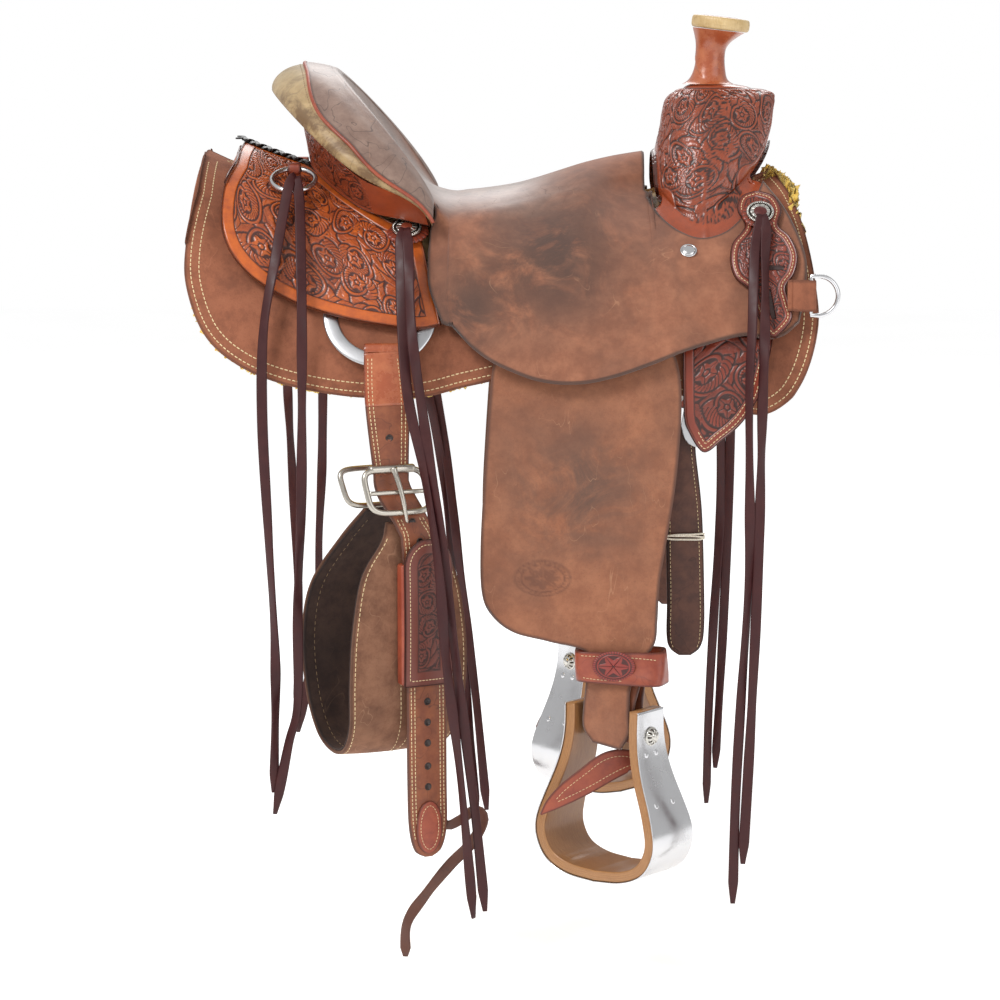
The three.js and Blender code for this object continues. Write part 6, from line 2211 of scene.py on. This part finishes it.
def oval_stamp(points):
    """A plain pressed oval: two rope borders round a small flower."""
    x, z = points[:, 0] - 48, points[:, 2] + 366
    r = np.hypot(x / 33, z / 21)
    angle = np.arctan2(z / 21, x / 33)
    rope = ridge(r, 0.94, 0.05) * (0.75 + 0.25 * np.sin(angle * 60))
    inner = ridge(r, 0.74, 0.03)
    flower = smooth((0.55 + 0.12 * np.cos(angle * 8) - r) / 0.05) * smooth(np.abs(np.sin(angle * 4)) * r * 9)
    ticks = smooth((np.cos(angle * 30) - 0.2) / 0.5) * smooth((r - 0.78) / 0.02) * smooth((0.88 - r) / 0.02)
    return np.clip(rope + inner + 0.7 * flower + 0.6 * ticks, 0, 1)


def make_fenders():
    base = fender_grid(110, 300)
    leather = fender_material()
    for word, side in SIDES.items():
        body = f"stirrup_leathers_{word}"
        grid = on_side(base, side)
        sheet = flat_sheet(grid, (0, side, 0))
        x, z = sheet.points[:, 0], sheet.points[:, 2]
        stamp = oval_stamp(sheet.points)
        wave = 0.9 * np.sin(x / 34) * np.cos(z / 47) * smooth(sheet.distance / 40)
        cup = -1.6 * np.exp(-((sheet.distance / 14) ** 2))
        dark = ridge(x, 85, 80) * ridge(z, -265, 75)
        made = {"stain": np.clip(dark, 0, 1), "stamp": stamp}
        piece = sheet.solid(
            f"fender_{word}_looks", leather, LEATHER_THICK, wave + cup - 0.9 * stamp, made, 1.7,
        )
        finish_piece(piece, body, "roughout", f"fender_{word}")
        make_stirrup_leather(word, side, body)
        make_hobble(word, side, body)


def fender_material():
    """Rough side out, darkest where the rider's leg rubs, with pale scratches across it."""
    m = Nodes("fender_leather")
    mottle = m.noise(44, 6, 0.7)
    speck = m.noise(540, 3, 0.7)
    colour = m.mix(m.curve(mottle, 0.3, 0.75), srgb(134, 80, 52), srgb(160, 102, 70))
    blotch = m.curve(m.noise(9, 5, 0.6, 0.5), 0.42, 0.7)
    colour = m.over(colour, srgb(98, 62, 46), blotch, 0.4)
    stain = m.math("MULTIPLY", m.attribute("stain"), m.curve(m.noise(17, 6, 0.72, 0.8), 0.25, 0.6))
    colour = m.over(colour, srgb(74, 56, 48), stain, 0.85)
    long_lines = m.stretched(1.6, 1, 0.5)
    scratch = m.math("MULTIPLY", streaks(m, 26, 0.005, where=long_lines), m.curve(m.noise(13), 0.5, 0.62))
    colour = m.over(colour, srgb(196, 148, 112), scratch, 0.35)
    colour = m.over(colour, srgb(84, 52, 40), m.curve(speck, 0.5, 0.8), 0.35)
    colour = m.over(colour, srgb(78, 44, 32), m.attribute("stamp"), 0.6)
    colour = m.mix(m.curve(m.attribute("border"), 1.2, 5, 0.75, 0), colour, BROWN_DARK)
    m.set("Base Color", colour)
    m.set("Roughness", 0.84)
    m.set("Sheen Weight", 0.2)
    m.set("Sheen Roughness", 0.6)
    low = m.bump(mottle, 0.35, 1.1)
    m.set("Normal", m.bump(speck, 0.35, 0.5, low))
    return m.material


def leather_row(z, depth):
    """A point of the stirrup leather's middle line at a height, and the way across the strap there."""
    s = lerp(lerp(-18, 14, float(smooth((-240 - z) / 180))), 1.6, float(smooth((-440 - z) / 90)))
    at, across, _ = tail_spot(s, depth, z)
    return [*at, *across]


def make_stirrup_leather(word, side, body):
    rows = []
    for z in (-96, -140, -190, -221, -250, -320, -400, -430, -455, -480, -505, -530):
        rows.append(leather_row(z, -4 if z > -240 else -6))
    for angle in np.linspace(0, np.pi, 9):
        ray = BOLT_OUT * math.cos(angle) + np.array([0, 0, -math.sin(angle)])
        rows.append([*(BOLT + ray * 9), *BOLT_AXIS])
    for z in (-530, -505, -480, -455):
        rows.append(leather_row(z, -24))
    fine = spline(rows, 220)
    path, wide = fine[:, :3] * [1, side, 1], fine[:, 3:] * [1, side, 1]
    rings = strap_rings(path, wide, 64, 4.8, STRAP_SIDES)
    piece = strap(f"stirrup_leather_{word}_looks", rings, LEATHERS["strap"], 64)
    finish_piece(piece, body, "tooled", f"stirrup_leather_{word}")


def make_hobble(word, side, body):
    """The strap round the fender and the stirrup leather just above the stirrup."""
    steps = 120
    angle = full_turn(steps)
    c, s = np.cos(angle), np.sin(angle)
    rings = []
    section = [
        (0, -17), (0.8, -18), (2.2, -18), (3, -17), (3.2, -8), (3.3, 0), (3.2, 8), (3, 17), (2.2, 18),
        (0.8, 18), (0, 17), (0, 0),
    ]
    for a, b in zip(squarer(c, 0.4), squarer(s, 0.4)):
        ring = [tail_spot(17 + a * (48.5 + g), -10.5 + b * (20 + g), HOBBLE_Z + z)[0] for g, z in section]
        rings.append(ring)
    rings = np.array(rings) * [1, side, 1]
    points, faces = loft_mesh(rings, closed=True)
    faces = oriented(points, faces)
    border = np.tile([18 - abs(z) for _, z in section], steps)
    band = make_mesh(
        f"hobble_strap_{word}_looks", points, faces, LEATHERS["red_strap"], {"border": border}
    )
    finish_piece(band, body, "tooled", f"hobble_strap_{word}")
    tree = tree_of(points, faces)
    line = [tail_spot(t, 14, HOBBLE_Z)[0] * [1, side, 1] for t in np.linspace(-26, 62, 80)]
    rows = [np.array(line) + [0, 0, z] for z in (13.5, -13.5)]
    sew(f"hobble_stitches_{word}", tree, rows, body, pitch=4.2, length=2.9, wide=0.9)
    make_medallion(word, side, body)


def make_medallion(word, side, body):
    """A raised oval with a rope edge and a plain flower, in place of any mark."""
    centre, across, out = tail_spot(12, 14.2, -464)
    centre, across, out = centre * [1, side, 1], across * [1, side, 1], out * [1, side, 1]
    r = np.concatenate([np.linspace(0.01, 1, 40), [1.0, 0.9, 0.01]])
    angle = full_turn(160)
    tall = np.concatenate([3.2 * np.sqrt(1 - 0.75 * np.linspace(0, 1, 40) ** 4), [0.2, -1, -1]])
    rr, aa = r[:, None] + 0 * angle, angle[None] + 0 * r[:, None]
    flower = smooth((0.6 + 0.14 * np.cos(aa * 6) - rr) / 0.06) * smooth(np.abs(np.sin(aa * 3)) * rr * 9)
    ring = ridge(rr, 0.76, 0.035)
    rope = (0.6 + 0.4 * np.sin(aa * 44)) * smooth((rr - 0.84) / 0.03)
    tool = np.clip(flower + rope + ring, 0, 1)
    front = (np.arange(len(r)) < 40)[:, None]
    height = tall[:, None] + 0.8 * (tool - 1) * front
    up = np.array([0, 0, 1.0])
    oval = (24 * rr * np.cos(aa))[..., None] * across + (17 * rr * np.sin(aa))[..., None] * up
    rings = centre + oval + height[..., None] * out
    made = {"tool": tool * front, "plain": 0 * tool, "border": np.full(tool.shape, 9.0)}
    piece = loft(f"hobble_medallion_{word}", rings, LEATHERS["red_panel"], attributes=made)
    finish_piece(piece, body, "tooled")


STIRRUP_OUTLINE = [
    (50, -513, 24), (50, -541, 25), (53, -565, 27), (60, -590, 30), (72, -620, 34), (79, -640, 37),
    (82, -656, 38), (80, -671, 38), (72, -687, 38), (58, -699, 38), (34, -707, 38), (0, -710, 38),
]


def stirrup_line():
    """The stirrup's closed outline with its half depth at each point, and the way out from it."""
    half = spline(STIRRUP_OUTLINE, 110)
    other = half[::-1] * [-1, 1, 1]
    whole = np.concatenate([half[:-1], other])
    tangent = unit(np.gradient(whole[:, :2], axis=0))
    out = np.stack([-tangent[:, 1], tangent[:, 0]], axis=1)
    flip = np.sign((out * (whole[:, :2] - [0, -620])).sum(axis=1))
    return whole, out * flip[:, None]


def stirrup_band(inside, outside, widen, round_by):
    """Rings of the stirrup's bent band; each has its corners rounded."""
    whole, out = stirrup_line()
    corners = []
    mid, half = (inside + outside) / 2, (outside - inside) / 2
    n = 7
    for cx, cy, start in ((1, 1, 0), (-1, 1, 1), (-1, -1, 2), (1, -1, 3)):
        for k in range(n):
            a = (start + k / (n - 1)) * np.pi / 2
            corners.append((cx, cy, math.cos(a), math.sin(a)))
    rings, ply, across = [], [], []
    for (s, z, depth), normal in zip(whole, out):
        ring = []
        for cx, cy, c, sn in corners:
            g = mid + cx * (half - round_by) + c * round_by
            d = cy * (depth + widen - round_by) + sn * round_by
            level = BOLT * [1, 1, 0] + [0, 0, z + normal[1] * g]
            ring.append(level + BOLT_AXIS * (s + normal[0] * g) + BOLT_OUT * d)
            ply.append(g)
            across.append(d)
        rings.append(ring)
    rings = np.array(rings)
    shape = rings.shape[:2]
    along = np.cumsum(np.r_[0, np.linalg.norm(np.diff(whole[:, :2], axis=0), axis=1)])
    made = {
        "ply": np.array(ply).reshape(shape),
        "across": np.array(across).reshape(shape),
        "along": np.repeat(along[:, None], shape[1], axis=1),
    }
    return rings, made


def make_stirrups():
    wood, made = stirrup_band(-12, 0, 0, 2.2)
    plate, _ = stirrup_band(0.3, 1.6, 0.6, 0.6)
    for word, side in SIDES.items():
        body = f"stirrup_{word}"
        turn = np.array([1, side, 1])
        oak = loft(f"stirrup_{word}_looks", wood * turn, OAK, attributes=made)
        finish_piece(oak, body, "oak", f"stirrup_{word}")
        tin = loft(f"stirrup_plate_{word}_looks", plate * turn, STEEL)
        finish_piece(tin, body, "steel", f"stirrup_plate_{word}")
        for end in (-1, 1):
            make_bolt_end(word, side, body, end)
            make_plate_rivets(word, side, body, end)
        rod = np.array([BOLT + BOLT_AXIS * s for s in np.linspace(-54, 54, 8)]) * turn
        bar_piece(f"stirrup_bolt_rod_{word}", rod, 5, STEEL, body)
        make_stirrup_tail(word, side, body)


def make_bolt_end(word, side, body, end):
    """A fluted silver cap on one end of the stirrup's bolt."""
    turn = np.array([1, side, 1])
    centre = (BOLT + BOLT_AXIS * end * BOLT_HALF) * turn
    axis = BOLT_AXIS * end * turn
    profile = [
        (0.01, 8.4), (3.0, 8.2), (4.6, 6.6), (4.9, 5.2), (7.4, 5.0), (8.8, 3.4), (9.2, 1.4), (10.8, 1.2),
        (11, -0.6), (0.01, -0.6),
    ]
    profile = fine_profile(rounded(profile, 1), 3)
    fluted = lambda r: smooth((r - 5) / 1) * smooth((9.6 - r) / 0.6)
    flutes = lambda r, t: 0.5 * np.cos(t * 10) * fluted(r)
    rings = turned(profile, centre, axis, 100, flutes)
    angle = full_turn(100)[None]
    r = profile[:, 0][:, None]
    tool = 1 - (0.5 - 0.5 * np.cos(angle * 10)) * fluted(r)
    name = f"stirrup_bolt_{word}_{'outer' if end > 0 else 'inner'}"
    piece = loft(name, rings, SILVER, attributes={"tool": tool})
    finish_piece(piece, body, "silver", *([f"stirrup_bolt_{word}"] if end > 0 else []))


def make_plate_rivets(word, side, body, end):
    turn = np.array([1, side, 1])
    whole, out = stirrup_line()
    for k, (z, depth) in enumerate([(-563, -7), (-563, 12), (-617, 18), (-617, -14)]):
        pick = np.flatnonzero(np.sign(whole[:, 0]) == end)
        j = pick[int(np.argmin(np.abs(whole[pick, 1] - z)))]
        s, zz = whole[j, 0] + out[j, 0] * 1.6, whole[j, 1] + out[j, 1] * 1.6
        centre = (BOLT * [1, 1, 0] + [0, 0, zz] + BOLT_AXIS * s + BOLT_OUT * depth) * turn
        axis = (BOLT_AXIS * out[j, 0] + np.array([0, 0, out[j, 1]])) * turn
        name = f"plate_rivet_{word}_{'outer' if end > 0 else 'inner'}_{k + 1}"
        head = [(0.01, 1.1), (2.4, 0.9), (3.6, 0.2), (3.6, -0.4), (0.01, -0.4)]
        button(name, centre, axis, head, STEEL, body, 32)


TONGUE_SPINE = [
    (160, -585, 10), (146, -578, 26), (124, -583, 34), (100, -598, 31), (76, -613, 25), (58, -626, 15),
    (46, -637, 2),
]


def make_stirrup_tail(word, side, body):
    """The red leather tongue that wraps the stirrup's top and points back through its window."""
    turn = np.array([1, side, 1])
    fine = evenly([(x, 240.0 - 0.12 * (x - 60), z, w) for x, z, w in TONGUE_SPINE], 2)
    path, w = fine[:, :3] * turn, fine[:, 3]
    tangent = unit(np.gradient(path, axis=0))
    out = np.array([0.12, 0.99, 0]) * turn
    wide = unit(np.cross(tangent, out))
    rings = strap_rings(path, wide, w, 3.4, STRAP_SIDES)
    piece = strap(f"stirrup_tail_{word}", rings, LEATHERS["red_strap"], w)
    finish_piece(piece, body, "tooled")
    rows = [path + wide * ((w / 2 - 8) * sign)[:, None] + out * 5 for sign in (-1, 1)]
    inner = w > 19
    sew(
        f"stirrup_tail_stitches_{word}", skin_tree(rings), [r[inner] for r in rows], body, pitch=4.2,
        length=2.9, wide=0.9
    )


# ---------- what stays of the CAD model ----------
def make_tree_looks():
    for name, look in (("saddle_tree", make_rawhide_tree()), ("horn_core", NICKEL)):
        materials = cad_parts[name].data.materials
        materials.clear()
        materials.append(look)


def make_rawhide_tree():
    m = Nodes("tree_rawhide")
    fibre = m.noise(22, 6, 0.65, 0.5, m.stretched(0.3, 1, 1))
    colour = m.mix(m.curve(fibre, 0.3, 0.75), srgb(150, 118, 78), srgb(196, 166, 118))
    colour = m.mix(m.curve(m.noise(8, 5), 0.5, 0.75), colour, srgb(104, 76, 50))
    m.set("Base Color", colour)
    m.set("Roughness", 0.5)
    m.set("Normal", m.bump(m.noise(160, 5, 0.7), 0.4, 1.0))
    return m.material


# ---------- studio ----------
LIGHT_AIM = (0, 0, -0.25)
LIGHTS = [
    ("key", (-2.0, -2.2, 2.6), 1.3, 95), ("fill", (2.4, -2.4, 0.8), 2.2, 22),
    ("back", (0.3, 2.8, 2.2), 2.0, 45),
]


def area_light(name, place_at, size, power):
    data = bpy.data.lights.new(name, "AREA")
    data.energy = power
    data.size = size
    lamp = bpy.data.objects.new(name, data)
    lamp.location = place_at
    lamp.rotation_euler = (Vector(LIGHT_AIM) - Vector(place_at)).to_track_quat("-Z", "Y").to_euler()
    bpy.context.scene.collection.objects.link(lamp)


WORLD_LIGHT = 0.62
FLOOR_GLOW = 0.42
FLOOR_Z = -0.84


def make_studio():
    m = Nodes("floor")
    m.set("Base Color", m.mix(m.noise(3, 2), srgb(240, 240, 240), srgb(246, 246, 246)))
    m.set("Roughness", 0.9)
    m.set("Emission Color", (1, 1, 1, 1))
    m.set("Emission Strength", FLOOR_GLOW)
    span = 9.0
    corners = [(x * span, y * span, FLOOR_Z) for x, y in ((-1, -1), (1, -1), (1, 1), (-1, 1))]
    mesh = bpy.data.meshes.new("floor")
    mesh.from_pydata(corners, [], [(0, 1, 2, 3)])
    mesh.materials.append(m.material)
    floor = bpy.data.objects.new("floor", mesh)
    bpy.context.scene.collection.objects.link(floor)
    make_world()
    for light in LIGHTS:
        area_light(*light)
    bpy.context.scene.view_settings.view_transform = "Standard"


def make_world():
    """An even white studio: it looks white, and lights the saddle more softly than it looks."""
    world = bpy.data.worlds.new("studio")
    world.use_nodes = True
    tree = world.node_tree
    seen = tree.nodes.new("ShaderNodeLightPath").outputs["Is Camera Ray"]
    strength = tree.nodes.new("ShaderNodeMapRange")
    strength.inputs["To Min"].default_value = WORLD_LIGHT
    strength.inputs["To Max"].default_value = 1.0
    tree.links.new(seen, strength.inputs["Value"])
    tree.nodes["Background"].inputs[0].default_value = (1, 1, 1, 1)
    tree.links.new(strength.outputs["Result"], tree.nodes["Background"].inputs[1])
    bpy.context.scene.world = world


make_skirts()
make_rear_jockeys()
make_ridge_lacing()
make_seat()
make_cantle()
make_swell()
make_horn()
make_keepers()
make_ornaments()
make_front_rigging()
make_flank_rings()
make_flank_billet()
make_cinch()
make_cinch_keeper()
make_buckles()
make_hanging_strap("off_billet", OFF_BILLET, -1, "off_billet", "off_billet_right", 2, 4.4)
make_hanging_strap("latigo", LATIGO, 1, "latigo", "latigo_left", 2, 3.9)
make_billet_tie()
make_dees()
make_fenders()
make_stirrups()
make_tree_looks()
make_studio()
